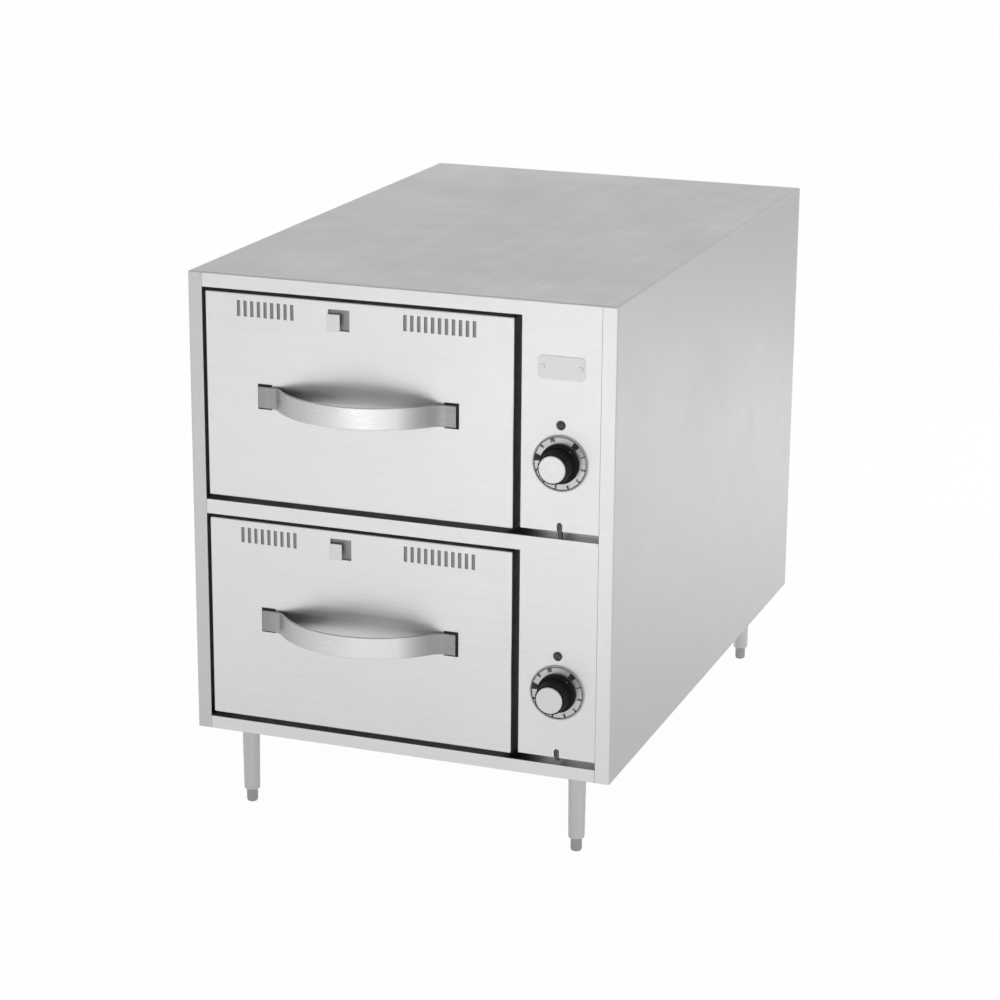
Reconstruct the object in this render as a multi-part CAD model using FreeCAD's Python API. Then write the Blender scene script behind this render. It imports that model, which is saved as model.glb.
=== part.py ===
import FreeCAD, Part
import math
import os

# Countertop warming cabinet with two pan drawers, each with its own thermostat.
# Millimetres. X runs to the right, Y to the back, Z up from the surface that the feet stand on.
# While it is modelled the cabinet's front face lies at Y = 0; saving moves the model along Y so
# that its origin is under the middle of the whole unit.

V = FreeCAD.Vector
RIGHT = V(1, 0, 0)
BACK = V(0, 1, 0)
FRONT = V(0, -1, 0)
UP = V(0, 0, 1)

# ---------------------------------------------------------------- driving dimensions

# Full-size food pan
pan_width = 325.0
pan_length = 530.0
pan_depth = 150.0
pan_sheet = 0.8
pan_rim = 12.5
pan_taper = 8.0
pan_corner = 42.0
pan_rim_corner = 20.0
pan_base_round = 6.0

# Drawer frame and roller slides
frame_sheet = 1.2
frame_height = 38.0
frame_lip = 13.0
frame_margin = 3.5
slide_gap = 12.7
member_sheet = 1.2
member_drop = 2.0
track_clear = 1.5
roller_radius = 9.0
roller_round = 0.8
roller_play = 0.3
side_play = 0.7
pin_radius = 3.0
pin_fit = 0.05
pin_head_radius = 4.5
pin_head = 0.7
head_play = 0.2
front_roller_inset = 27.0
stop_gap = 6.0
tail_length = 20.0
pan_setback = 4.0

# Cavity liners and insulation
liner_sheet = 0.9
element_space = 40.0
pan_headroom = 22.0
mouth_sill = 12.0
mouth_head = 14.5
mouth_side = 6.15
cavity_tail = 39.0
rear_insulation = 40.0
wiring_space = 59.9
board_lift = 22.0

# Cabinet shell
sheet = 1.2
bend_radius = 2.0
seam = 0.3
side_flange = 17.0
rear_flange = 15.0
top_rail = 17.0
mullion = 17.0
bottom_rail = 15.0
gap_left = 4.0
gap_right = 9.0
gap_top = 4.0
gap_bottom = 6.0
control_width = 91.3
closing_gap = 1.0
tab_reach = 12.0
base_lip = 20.0
partition_lip = 15.0

# Drawer fronts
front_thickness = 32.0
front_bend = 1.6
inner_panel_sheet = 1.2
insulation_setback = 10.0
vent_chamber = 38.0

# Front vents and their shutters
slot_width = 4.0
slot_height = 18.0
slot_pitch = 8.15
slot_drop = 8.0
left_slots = 9
right_slots = 11
left_vent_centre = -110.9
right_vent_centre = 98.1
tab_hole_centre = -21.6
tab_hole_width = 25.5
tab_hole_height = 24.0
tab_hole_drop = 9.0
tab_width = 15.5
tab_height = 19.0
tab_reach_out = 5.0
shutter_sheet = 0.8
shutter_play = 0.2
shutter_travel = 4.0
shutter_margin = 4.0
keeper_sheet = 0.8
keeper_length = 24.0
keeper_lip = 2.5

# Handles
handle_length = 238.0
handle_height = 25.0
handle_strap = 4.0
handle_reach = 54.0
handle_rise = 2.5
handle_pad = 11.0
handle_heel_radius = 25.0
handle_round = 1.2
handle_screw_radius = 2.4
handle_screw_length = 3.4
handle_tap = 2.8

# Controls
badge_rise = 68.25
badge_width = 54.0
badge_height = 26.0
badge_thickness = 1.0
badge_corner = 5.0
badge_rivet_radius = 1.6
badge_rivet_inset = 5.0
badge_rivet_head = 0.9
badge_rivet_round = 0.5
lamp_rise = 4.25
lamp_radius = 4.4
lamp_flange_radius = 5.4
lamp_flange = 0.9
lamp_flange_edge = 0.5
lamp_rim = 0.8
lamp_dome = 2.2
lamp_dome_steps = 5
lamp_nut_radius = 6.4
lamp_nut = 3.0
lamp_barrel_radius = 3.7
lamp_barrel_length = 24.0
dial_drop = 38.45
dial_radius = 32.0
dial_thickness = 1.2
dial_rim = 0.5
dial_rim_width = 2.0
dial_bore = 7.0
shaft_radius = 3.0
shaft_fit = 0.05
shaft_hole_radius = 5.2
shaft_depth = 10.0
shaft_end_play = 1.5
bearing_fit = 0.2
knob_gap = 0.4
knob_skirt_radius = 22.5
knob_skirt = 4.0
knob_skirt_edge = 1.2
knob_edge = 1.0
knob_bore = 15.3
knob_grip_radius = 19.0
knob_top_radius = 17.4
knob_height = 25.5
knob_flutes = 18
flute_radius = 1.6
flute_offset = 0.64
flute_start = 0.6
knob_cap_radius = 15.4
knob_cap_height = 1.8
knob_cap_edge = 0.8
thermostat_width = 46.0
thermostat_height = 40.0
thermostat_depth = 34.0
thermostat_corner = 3.0
blade_length = 8.0
blade_width = 6.0
blade_sheet = 0.8
bulb_radius = 3.0
bulb_length = 90.0
bulb_setback = 60.0
bulb_clip_inset = 13.5
bulb_clip_width = 6.0
bulb_clip_sheet = 0.8
capillary_radius = 1.0
capillary_bend = 4.5
notch_width = 6.0
notch_height = 10.0
recess_height = 9.0
recess_depth = 22.0
recess_end = 2.7
recess_lap = 8.0

# Heating elements
element_radius = 4.0
element_lift = 18.0
element_bend = 20.0
element_outer = 110.0
element_inner = 40.0
element_front_inset = 80.0
element_rear_inset = 110.0
element_loop_setback = 44.0
element_tail_gap = 44.0
element_terminal = 26.0
saddle_thickness = 2.0
saddle_margin = 14.0
saddle_foot = 6.0
saddle_fit = 0.05
saddle_inset = 60.0
element_pin_radius = 2.4
element_pin = 8.0
passage_fit = 0.3

# Legs and levelling feet
leg_height = 102.0
leg_inset_x = 50.0
leg_inset_y = 38.0
leg_collar_radius = 11.5
leg_collar = 10.0
leg_top_radius = 10.2
leg_bottom_radius = 9.4
leg_stud_radius = 5.0
leg_stud_length = 12.0
weld_nut_radius = 9.0
weld_nut = 10.0
foot_radius = 6.6
foot_height = 16.0
foot_round = 3.0
spindle_radius = 5.0
spindle_edge = 1.0
spindle_fit = 0.05
thread_engagement = 33.0
foot_travel = 19.0
foot_play = 0.3

# Fasteners, wiring and cord inlet
screw_head_radius = 3.6
screw_head = 2.0
screw_shank_radius = 1.9
screw_length = 7.0
screw_fit = 0.05
screw_dome = 0.9
screw_cross_depth = 1.0
screw_cross_arm = 0.55  # share of the head's radius
screw_cross_width = 0.12  # share of the head's radius
notch_screw_radius = 2.5
side_screws = 4
top_screws = 3
wire_radius = 1.2
wire_bend = 12.0
wire_turn = 4.8
wire_lane = 3.6
wire_approach = 36.0
terminal_pitch = 12.0
terminal_ways = 4
terminal_height = 20.0
terminal_depth = 24.0
terminal_gap = 6.0
terminal_ledge = 12.0
terminal_barrier = 1.6
terminal_screw_radius = 3.0
terminal_screw = 3.0
terminal_screw_drop = 4.0
inlet_bore = 6.0
inlet_body_radius = 10.0
inlet_flange_radius = 14.0
inlet_reach = 12.0
inlet_inside = 3.6
inlet_flange = 2.4
inlet_fit = 0.2
inlet_round = 1.0
inlet_rise = 60.0
louvre_drop = 60.0
louvre_count = 9
louvre_width = 52.0
louvre_height = 3.2
louvre_pitch = 10.0

# Geometric tolerance for picking edges, and a full turn in degrees
tolerance = 0.001
full_turn = 360.0

# ---------------------------------------------------------------- derived places

# Across the unit
frame_half = pan_width / 2 + frame_margin
cavity_half = frame_half + slide_gap
front_width = 2 * (cavity_half + mouth_side)
cabinet_width = 2 * side_flange + gap_left + front_width + gap_right + control_width
half_width = cabinet_width / 2
inner_left = -half_width + side_flange
inner_right = half_width - side_flange
front_left = inner_left + gap_left
front_right = front_left + front_width
drawer_x = front_left + front_width / 2
panel_left = inner_right - control_width
panel_x = panel_left + control_width / 2

# Up the unit
cavity_height = element_space + pan_depth + pan_headroom
front_height = mouth_sill + cavity_height + mouth_head
drawer_pitch = front_height + gap_top + mullion + gap_bottom
cabinet_height = bottom_rail + drawer_pitch + gap_bottom + front_height + gap_top + top_rail
body_bottom = leg_height
body_top = body_bottom + cabinet_height

# Front to back
face_plate_y = front_thickness + closing_gap
pan_front = front_thickness + pan_setback
pan_back = pan_front + pan_length
front_roller_y = face_plate_y + front_roller_inset
drawer_travel = pan_length
rear_roller_y = front_roller_y + 2 * roller_radius + stop_gap + drawer_travel
frame_end = rear_roller_y + tail_length
cavity_back = frame_end + cavity_tail
cabinet_depth = cavity_back + liner_sheet + rear_insulation + wiring_space + sheet
back_panel_y = cabinet_depth - 2 * sheet

# Roller slides, measured outwards from the drawer's centre plane
moving_web = frame_half + member_sheet
fixed_web = cavity_half - member_sheet
roller_width = slide_gap - 2 * member_sheet - 2 * side_play - pin_head - 2 * head_play
rear_roller_u = moving_web + side_play
front_roller_u = fixed_web - side_play - roller_width
track_inner = rear_roller_u + side_play
runner_reach = fixed_web - track_clear

spindle_length = foot_travel + thread_engagement
frame_shift = (handle_reach - cabinet_depth - inlet_reach) / 2


def front_bottom(level):
    return body_bottom + bottom_rail + gap_bottom + level * drawer_pitch


def front_top(level):
    return front_bottom(level) + front_height


def front_middle(level):
    return front_bottom(level) + front_height / 2


def cavity_floor(level):
    return front_bottom(level) + mouth_sill


def frame_top(level):
    """Top of the drawer frame, where the pan's rim rests."""
    return cavity_floor(level) + element_space + pan_depth - pan_sheet


def member_flange(level):
    """Underside of the running flange on the drawer's slide member."""
    return frame_top(level) - member_drop - member_sheet


def track_centre(level):
    return member_flange(level) - track_clear - member_sheet - roller_play - roller_radius


def front_roller_z(level):
    return member_flange(level) - roller_play - roller_radius


def board_middle():
    """Height at which the lower cavity's face plate meets the upper one's."""
    return front_bottom(1) - gap_bottom - mullion / 2


# ---------------------------------------------------------------- helpers


def box(x0, x1, y0, y1, z0, z1):
    return Part.makeBox(x1 - x0, y1 - y0, z1 - z0, V(x0, y0, z0))


def rod(radius, start, direction, length):
    return Part.makeCylinder(radius, length, start, direction)


def fuse(shapes):
    joined = shapes[0].multiFuse(shapes[1:])
    return joined.removeSplitter()


def group(shapes):
    return Part.makeCompound(shapes)


def round_edges(shape, radius, axis, accept):
    """Fillet the straight edges along an axis whose middle point is accepted."""
    chosen = []
    for edge in shape.Edges:
        if not isinstance(edge.Curve, Part.Line):
            continue
        direction = edge.tangentAt(edge.FirstParameter)
        if abs(direction.dot(axis)) > 1 - tolerance and accept(edge.CenterOfMass):
            chosen.append(edge)
    return shape.makeFillet(radius, chosen)


def round_rims(shape, radius, accept):
    """Fillet the circular edges whose centre and radius are accepted."""
    chosen = []
    for edge in shape.Edges:
        if isinstance(edge.Curve, Part.Circle) and accept(edge.Curve.Center, edge.Curve.Radius):
            chosen.append(edge)
    return shape.makeFillet(radius, chosen)


def turned(profile):
    """Solid of revolution about Z from (radius, height) points that start and end on the axis."""
    points = [V(radius, 0, height) for radius, height in profile]
    wire = Part.makePolygon(points + [points[0]])
    return Part.Face(wire).revolve(V(0, 0, 0), UP, full_turn)


def placed(shape, at, direction):
    """A piece built along +Z at the origin, turned to a direction and moved to a point."""
    moved = shape.copy()
    moved.Placement = FreeCAD.Placement(at, FreeCAD.Rotation(UP, direction))
    return moved


def slab_wire(width, length, corner, centre):
    """Rounded rectangle in a level plane, width along X and length along Y."""
    w = width / 2 - corner
    d = length / 2 - corner
    diagonal = corner * math.sqrt(0.5)
    edges = []
    for sx, sy, first_x in ((1, 1, True), (-1, 1, False), (-1, -1, True), (1, -1, False)):
        arc_centre = centre + V(sx * w, sy * d, 0)
        along_x = arc_centre + V(sx * corner, 0, 0)
        along_y = arc_centre + V(0, sy * corner, 0)
        middle = arc_centre + V(sx * diagonal, sy * diagonal, 0)
        start = along_x if first_x else along_y
        end = along_y if first_x else along_x
        if edges:
            edges.append(Part.LineSegment(edges[-1].valueAt(edges[-1].LastParameter), start).toShape())
        edges.append(Part.Arc(start, middle, end).toShape())
    last = edges[-1].valueAt(edges[-1].LastParameter)
    first = edges[0].valueAt(edges[0].FirstParameter)
    edges.append(Part.LineSegment(last, first).toShape())
    return Part.Wire(edges)


def bent_rod(points, radius, bend):
    """Round bar along straight runs that are joined by tangent arcs of one radius."""
    edges = []
    start = points[0]
    for before, corner, after in zip(points, points[1:], points[2:]):
        back = (before - corner).normalize()
        ahead = (after - corner).normalize()
        half_angle = back.getAngle(ahead) / 2
        run = bend / math.tan(half_angle)
        arc_start = corner + back * run
        arc_end = corner + ahead * run
        bisector = (back + ahead).normalize()
        middle = corner + bisector * (bend / math.sin(half_angle) - bend)
        edges.append(Part.LineSegment(start, arc_start).toShape())
        edges.append(Part.Arc(arc_start, middle, arc_end).toShape())
        start = arc_end
    edges.append(Part.LineSegment(start, points[-1]).toShape())
    path = Part.Wire(edges)
    section = Part.Wire(Part.makeCircle(radius, points[0], points[1] - points[0]))
    return path.makePipeShell([section], True, True)


def pan_head_screw(head_radius):
    """Screw with a domed head above Z = 0 and a plain shank below it."""
    head = rod(head_radius, V(0, 0, 0), UP, screw_head)
    head = round_rims(head, screw_dome, lambda centre, radius: centre.z > screw_head / 2)
    shank = rod(screw_shank_radius, V(0, 0, -screw_length), UP, screw_length + screw_head / 2)
    arm = head_radius * screw_cross_arm
    width = head_radius * screw_cross_width
    floor = screw_head - screw_cross_depth
    recess = [
        box(-arm, arm, -width, width, floor, screw_head + 1),
        box(-width, width, -arm, arm, floor, screw_head + 1),
    ]
    return fuse([head, shank]).cut(recess)


# ---------------------------------------------------------------- cabinet shell


def rear_screw_places():
    """Screws that hold the back panel, down both rear flanges and along the top one."""
    column = half_width - rear_flange / 2
    bottom = body_bottom + 2 * rear_flange
    top = body_top - 2 * rear_flange
    places = []
    for index in range(side_screws):
        z = bottom + (top - bottom) * index / (side_screws - 1)
        for side in (-1, 1):
            places.append(V(side * column, cabinet_depth, z))
    for index in range(top_screws):
        x = (index + 1) * 2 * column / (top_screws + 1) - column
        places.append(V(x, cabinet_depth, body_top - rear_flange / 2))
    return places


def rear_screw_holes():
    holes = []
    for place in rear_screw_places():
        start = place + V(0, 1, 0)
        holes.append(rod(screw_shank_radius + screw_fit, start, FRONT, 2 * sheet + 2))
    return holes


def outer_wrap():
    """Top and both sides in one sheet, folded in at the front and the rear."""
    outer = box(-half_width, half_width, 0, cabinet_depth, body_bottom, body_top)
    outer = round_edges(outer, bend_radius, UP, lambda centre: True)
    outer = round_edges(outer, bend_radius, BACK, lambda centre: centre.z > body_top - 1)
    inner = box(
        -half_width + sheet, half_width - sheet,
        sheet, cabinet_depth - sheet,
        body_bottom - 1, body_top - sheet,
    )
    front = box(inner_left, inner_right, -1, 2 * sheet, body_bottom - 1, body_top - sheet)
    rear_x = half_width - rear_flange
    rear = box(
        -rear_x, rear_x,
        back_panel_y, cabinet_depth + 1,
        body_bottom - 1, body_top - rear_flange,
    )
    return outer.cut([inner, front, rear] + rear_screw_holes())


def inlet_place():
    return V(panel_x, cabinet_depth - sheet, body_bottom + inlet_rise)


def back_panel():
    panel = box(
        -half_width + sheet + seam, half_width - sheet - seam,
        back_panel_y, cabinet_depth - sheet,
        body_bottom, body_top - sheet - seam,
    )
    cuts = rear_screw_holes()
    cuts.append(rod(inlet_body_radius + inlet_fit, inlet_place() + V(0, 1, 0), FRONT, sheet + 2))
    first = body_top - louvre_drop
    for index in range(louvre_count):
        z = first - index * louvre_pitch
        cuts.append(box(
            panel_x - louvre_width / 2, panel_x + louvre_width / 2,
            back_panel_y - 1, cabinet_depth,
            z - louvre_height, z,
        ))
    return panel.cut(cuts)


def leg_places():
    places = {}
    for x_name, side in (("left", -1), ("right", 1)):
        x = side * (half_width - leg_inset_x)
        places["front_" + x_name] = V(x, leg_inset_y, 0)
        places["rear_" + x_name] = V(x, cabinet_depth - leg_inset_y, 0)
    return places


def base_panel():
    """Floor sheet with the front bottom rail, side and rear lips, and nuts for the legs."""
    floor = box(
        -half_width + sheet, half_width - sheet,
        sheet, back_panel_y,
        body_bottom, body_bottom + sheet,
    )
    rail_top = body_bottom + bottom_rail
    rail = box(inner_left + seam, inner_right - seam, 0, sheet, body_bottom, rail_top)
    rail_return = box(inner_left + seam, panel_left, 0, face_plate_y, rail_top - sheet, rail_top)
    recess_shelf = box(
        panel_left, inner_right - seam,
        0, recess_depth - sheet,
        rail_top - sheet, rail_top,
    )
    tabs = box(
        inner_left - tab_reach, inner_right + tab_reach,
        sheet, 2 * sheet,
        body_bottom, rail_top,
    )
    pieces = [floor, rail, rail_return, recess_shelf, tabs]
    lip_front = face_plate_y + liner_sheet + seam
    for side in (-1, 1):
        wall = side * (half_width - sheet)
        inside = side * (half_width - 2 * sheet)
        pieces.append(box(
            min(wall, inside), max(wall, inside),
            lip_front, back_panel_y,
            body_bottom, body_bottom + base_lip,
        ))
    pieces.append(box(
        -half_width + sheet, half_width - sheet,
        back_panel_y - sheet, back_panel_y,
        body_bottom, body_bottom + base_lip,
    ))
    for place in leg_places().values():
        start = V(place.x, place.y, body_bottom)
        pieces.append(rod(weld_nut_radius, start, UP, sheet + weld_nut))
    holes = []
    for place in leg_places().values():
        start = V(place.x, place.y, body_bottom - 1)
        holes.append(rod(leg_stud_radius + screw_fit, start, UP, leg_stud_length + sheet + 2))
    return fuse(pieces).cut(holes)


def recess_bottom(level):
    """Bottom of the shallow recess under a control panel."""
    return front_bottom(level) - gap_bottom


def panel_bottom(level):
    return recess_bottom(level) + recess_height


def dial_centre(level):
    return V(panel_x, 0, front_middle(level) - dial_drop)


def lamp_centre(level):
    return V(panel_x, 0, front_middle(level) + lamp_rise)


def badge_centre():
    return V(panel_x, 0, front_middle(1) + badge_rise)


def badge_rivet_places():
    offset = badge_width / 2 - badge_rivet_inset
    return [badge_centre() + V(side * offset, 0, 0) for side in (-1, 1)]


def notch_place(level):
    return V(panel_x, recess_depth - sheet, panel_bottom(level) + notch_width / 2)


def fascia(level):
    """One rail of the front frame and the control panel below it, in one sheet."""
    rail_bottom = front_top(level) + gap_top
    rail_top = body_top - sheet if level == 1 else recess_bottom(1)
    left = inner_left + seam
    right = inner_right - seam
    low = panel_bottom(level)
    back_lip = recess_depth - sheet
    pieces = [
        box(left, right, 0, sheet, rail_bottom, rail_top),
        box(panel_left, right, 0, sheet, low, rail_top),
        box(left, panel_left + sheet, 0, face_plate_y, rail_bottom, rail_bottom + sheet),
        box(panel_left, panel_left + sheet, 0, face_plate_y + tab_reach, low, rail_top),
        box(left - tab_reach, left + tab_reach, sheet, 2 * sheet, rail_bottom, rail_top),
        box(right - tab_reach, right + tab_reach, sheet, 2 * sheet, low, rail_top),
        box(panel_left, right - recess_end, 0, recess_depth, low, low + sheet),
        box(
            panel_left + sheet + seam, right - recess_end,
            back_lip, recess_depth,
            recess_bottom(level) - recess_lap, low + sheet,
        ),
        box(
            panel_x - notch_width, panel_x + notch_width,
            back_lip, recess_depth,
            low, low + notch_height + notch_width,
        ),
    ]
    if level == 0:
        pieces.append(box(left, panel_left, 0, face_plate_y, rail_top - sheet, rail_top))
        pieces.append(box(panel_left, right, 0, back_lip, rail_top - sheet, rail_top))
    notch_round = notch_width / 2
    cuts = [
        box(
            panel_x - notch_round, panel_x + notch_round,
            -1, back_lip,
            low - 1, low + notch_height - notch_round,
        ),
        rod(notch_round, V(panel_x, -1, low + notch_height - notch_round), BACK, back_lip + 1),
        rod(screw_shank_radius + screw_fit, notch_place(level), BACK, 2 * sheet),
        rod(shaft_hole_radius, dial_centre(level) + V(0, -1, 0), BACK, 2 + sheet),
        rod(lamp_barrel_radius + screw_fit, lamp_centre(level) + V(0, -1, 0), BACK, 2 + sheet),
    ]
    if level == 1:
        for place in badge_rivet_places():
            cuts.append(rod(badge_rivet_radius + screw_fit, place + V(0, -1, 0), BACK, 2 + sheet))
    return fuse(pieces).cut(cuts)


def partition():
    """Upright sheet between the hot cavities and the control compartment."""
    x = panel_left
    pieces = [
        box(x - sheet, x, face_plate_y, back_panel_y - sheet, body_bottom + sheet, body_top - sheet),
        box(
            x - sheet, x + partition_lip,
            face_plate_y + 2 * tab_reach, back_panel_y - sheet,
            body_bottom + sheet, body_bottom + 2 * sheet,
        ),
        box(
            x - sheet, x + partition_lip,
            face_plate_y + 2 * tab_reach, back_panel_y - sheet,
            body_top - 2 * sheet, body_top - sheet,
        ),
    ]
    return fuse(pieces).cut(wall_passages())


# ---------------------------------------------------------------- cavities


def element_height(level):
    return cavity_floor(level) + element_lift


def element_ends(level):
    """Points where the two ends of the heating element stop in the control compartment."""
    x = panel_left + element_terminal
    y = cavity_back - element_rear_inset
    z = element_height(level)
    return [V(x, y, z), V(x, y + element_tail_gap, z)]


def capillary_y():
    return face_plate_y + element_front_inset


def capillary_z(level):
    return cavity_floor(level) + 2 * element_lift


def wall_passages():
    """Holes through the walls right of the cavities, for elements and capillaries."""
    start = drawer_x + cavity_half - 1
    length = panel_left - start + 1
    holes = []
    for level in (0, 1):
        for end in element_ends(level):
            holes.append(rod(element_radius + passage_fit, V(start, end.y, end.z), RIGHT, length))
        entry = V(start, capillary_y(), capillary_z(level))
        holes.append(rod(capillary_radius + passage_fit, entry, RIGHT, length))
    return holes


def cavity_liner(level):
    """Five-sided liner whose front edge spreads into a face plate."""
    left = drawer_x - cavity_half
    right = drawer_x + cavity_half
    floor = cavity_floor(level)
    roof = floor + cavity_height
    s = liner_sheet
    shell = box(left - s, right + s, face_plate_y, cavity_back + s, floor - s, roof + s)
    plate_bottom = body_bottom + bottom_rail - sheet if level == 0 else board_middle()
    plate_top = board_middle() if level == 0 else body_top - sheet
    plate = box(
        -half_width + sheet, panel_left - sheet,
        face_plate_y, face_plate_y + s,
        plate_bottom, plate_top,
    )
    hollow = box(left, right, face_plate_y - 1, cavity_back, floor, roof)
    return fuse([shell, plate]).cut([hollow] + wall_passages())


def insulation_boards():
    """Mineral wool boards round both cavities, behind the face plates."""
    front = face_plate_y + liner_sheet
    back = cavity_back + liner_sheet
    left = drawer_x - cavity_half - liner_sheet
    right = drawer_x + cavity_half + liner_sheet
    bottom = body_bottom + board_lift
    top = body_top - sheet
    boards = [
        box(-half_width + sheet, left, front, back, bottom, top),
        box(right, panel_left - sheet, front, back, bottom, top).cut(wall_passages()),
        box(-half_width + sheet, panel_left - sheet, back, back + rear_insulation, bottom, top),
    ]
    lower_floor = cavity_floor(0) - liner_sheet
    lower_roof = cavity_floor(0) + cavity_height + liner_sheet
    upper_floor = cavity_floor(1) - liner_sheet
    upper_roof = cavity_floor(1) + cavity_height + liner_sheet
    for low, high in ((bottom, lower_floor), (lower_roof, upper_floor), (upper_roof, top)):
        boards.append(box(left, right, front, back, low, high))
    return group(boards)


def element_saddle_rows():
    """Places along Y of the two saddles under each heating element."""
    first = face_plate_y + element_front_inset + saddle_inset
    last = cavity_back - element_rear_inset - element_loop_setback - saddle_inset
    return (first, last)


def element_runs():
    return (-element_outer, -element_inner, element_inner, element_outer)


def heating_element(level):
    """Tubular element on the cavity floor: four long runs and two ends through the right wall."""
    z = element_height(level)
    near, far = element_ends(level)
    front = face_plate_y + element_front_inset
    loop = near.y - element_loop_setback
    route = [
        near,
        V(drawer_x + element_outer, near.y, z),
        V(drawer_x + element_outer, front, z),
        V(drawer_x + element_inner, front, z),
        V(drawer_x + element_inner, loop, z),
        V(drawer_x - element_inner, loop, z),
        V(drawer_x - element_inner, front, z),
        V(drawer_x - element_outer, front, z),
        V(drawer_x - element_outer, far.y, z),
        far,
    ]
    tube = bent_rod(route, element_radius, element_bend)
    ends = [rod(element_pin_radius, end, RIGHT, element_pin) for end in (near, far)]
    return fuse([tube] + ends)


def element_saddles(level):
    """Upright strips on the cavity floor with a round seat under each run of the element."""
    floor = cavity_floor(level)
    reach = element_outer + saddle_margin
    strips = []
    for y in element_saddle_rows():
        half = saddle_thickness / 2
        strip = box(drawer_x - reach, drawer_x + reach, y - half, y + half, floor, element_height(level))
        foot = box(
            drawer_x - reach, drawer_x + reach,
            y - half, y - half + saddle_foot,
            floor, floor + half,
        )
        seats = []
        for offset in element_runs():
            start = V(drawer_x + offset, y - saddle_foot, element_height(level))
            seats.append(rod(element_radius + saddle_fit, start, BACK, 2 * saddle_foot))
        strips.append(fuse([strip, foot]).cut(seats))
    return group(strips)


# ---------------------------------------------------------------- roller slides


def side_box(side, u0, u1, y0, y1, z0, z1):
    """Block given by its distances outwards from the drawer's centre plane."""
    a = drawer_x + side * u0
    b = drawer_x + side * u1
    return box(min(a, b), max(a, b), y0, y1, z0, z1)


def side_rod(side, radius, u0, u1, y, z):
    return rod(radius, V(drawer_x + side * u0, y, z), RIGHT * side, u1 - u0)


def slide_channels(level):
    """Cabinet halves of both slides: a C track for the rear roller and the front roller's pin."""
    centre = track_centre(level)
    half = roller_radius + roller_play
    track_front = front_roller_y + roller_radius + stop_gap / 2
    channel_front = face_plate_y + liner_sheet + seam
    channel_back = frame_end + stop_gap
    outer = half + member_sheet
    pin_z = front_roller_z(level)
    head = front_roller_u - head_play
    channels = []
    for side in (-1, 1):
        pieces = [
            side_box(
                side, fixed_web, cavity_half,
                channel_front, channel_back,
                centre - outer, centre + outer,
            ),
            side_box(
                side, track_inner, cavity_half,
                track_front, channel_back,
                centre + half, centre + outer,
            ),
            side_box(
                side, track_inner, cavity_half,
                track_front, channel_back,
                centre - outer, centre - half,
            ),
            side_rod(side, pin_radius, head, fixed_web, front_roller_y, pin_z),
            side_rod(side, pin_head_radius, head - pin_head, head, front_roller_y, pin_z),
            side_rod(
                side, pin_head_radius, front_roller_u + roller_width + head_play, fixed_web,
                front_roller_y, pin_z,
            ),
        ]
        channels.append(fuse(pieces))
    return group(channels)


def rollers(inner_u, y, z):
    """Left and right roller on one axis line."""
    pair = []
    for side in (-1, 1):
        wheel = side_rod(side, roller_radius, inner_u, inner_u + roller_width, y, z)
        wheel = round_rims(wheel, roller_round, lambda centre, radius: True)
        bore = side_rod(side, pin_radius + pin_fit, inner_u - 1, inner_u + roller_width + 1, y, z)
        pair.append(wheel.cut(bore))
    return group(pair)


def drawer_runners(level):
    """Drawer halves of both slides: a running flange and the rear roller's pin."""
    flange = member_flange(level)
    centre = track_centre(level)
    head = rear_roller_u + roller_width + head_play
    runners = []
    for side in (-1, 1):
        pieces = [
            side_box(
                side, frame_half, moving_web,
                front_thickness, frame_end,
                centre - roller_radius - roller_play, flange + member_sheet,
            ),
            side_box(
                side, frame_half, runner_reach,
                front_thickness, frame_end,
                flange, flange + member_sheet,
            ),
            side_rod(side, pin_radius, moving_web, head, rear_roller_y, centre),
            side_rod(side, pin_head_radius, head, head + pin_head, rear_roller_y, centre),
            side_rod(
                side, pin_head_radius, moving_web, rear_roller_u - head_play,
                rear_roller_y, centre,
            ),
        ]
        runners.append(fuse(pieces))
    return group(runners)


# ---------------------------------------------------------------- drawers


def drawer_frame(level):
    """Welded ring of angles that carries the pan by its rim, with tails for the rear rollers."""
    top = frame_top(level)
    bottom = top - frame_height
    s = frame_sheet
    web = frame_half - s
    lip = frame_half - frame_lip
    pieces = []
    for side in (-1, 1):
        pieces.append(side_box(side, web, frame_half, front_thickness, frame_end, bottom, top))
        pieces.append(side_box(side, lip, frame_half, front_thickness, frame_end, top - s, top))
    left = drawer_x - frame_half
    right = drawer_x + frame_half
    front_lip = pan_front + pan_rim - pan_setback / 2
    rear_web = pan_back + pan_setback
    pieces += [
        box(left, right, front_thickness, front_thickness + s, bottom, top),
        box(left, right, front_thickness, front_lip, top - s, top),
        box(left, right, rear_web, rear_web + s, bottom, top),
        box(left, right, pan_back - pan_rim + pan_setback / 2, rear_web + s, top - s, top),
        box(left, right, frame_end - s, frame_end, bottom, top),
    ]
    return fuse(pieces)


def pan_body(level, inset, floor_inset):
    """Tapered tub with a rounded foot, drawn in by a wall thickness."""
    rim = frame_top(level) + pan_sheet
    floor = cavity_floor(level) + element_space + floor_inset
    centre_y = pan_front + pan_length / 2
    width = pan_width - 2 * pan_rim - 2 * inset
    length = pan_length - 2 * pan_rim - 2 * inset
    corner = pan_corner - inset
    foot = 2 * (pan_taper + pan_base_round)
    sections = [
        slab_wire(
            width - foot, length - foot, corner - pan_base_round,
            V(drawer_x, centre_y, floor),
        ),
        slab_wire(
            width - 2 * pan_taper, length - 2 * pan_taper, corner,
            V(drawer_x, centre_y, floor + pan_base_round),
        ),
        slab_wire(width, length, corner, V(drawer_x, centre_y, rim)),
    ]
    return Part.makeLoft(sections, True, True)


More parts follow.
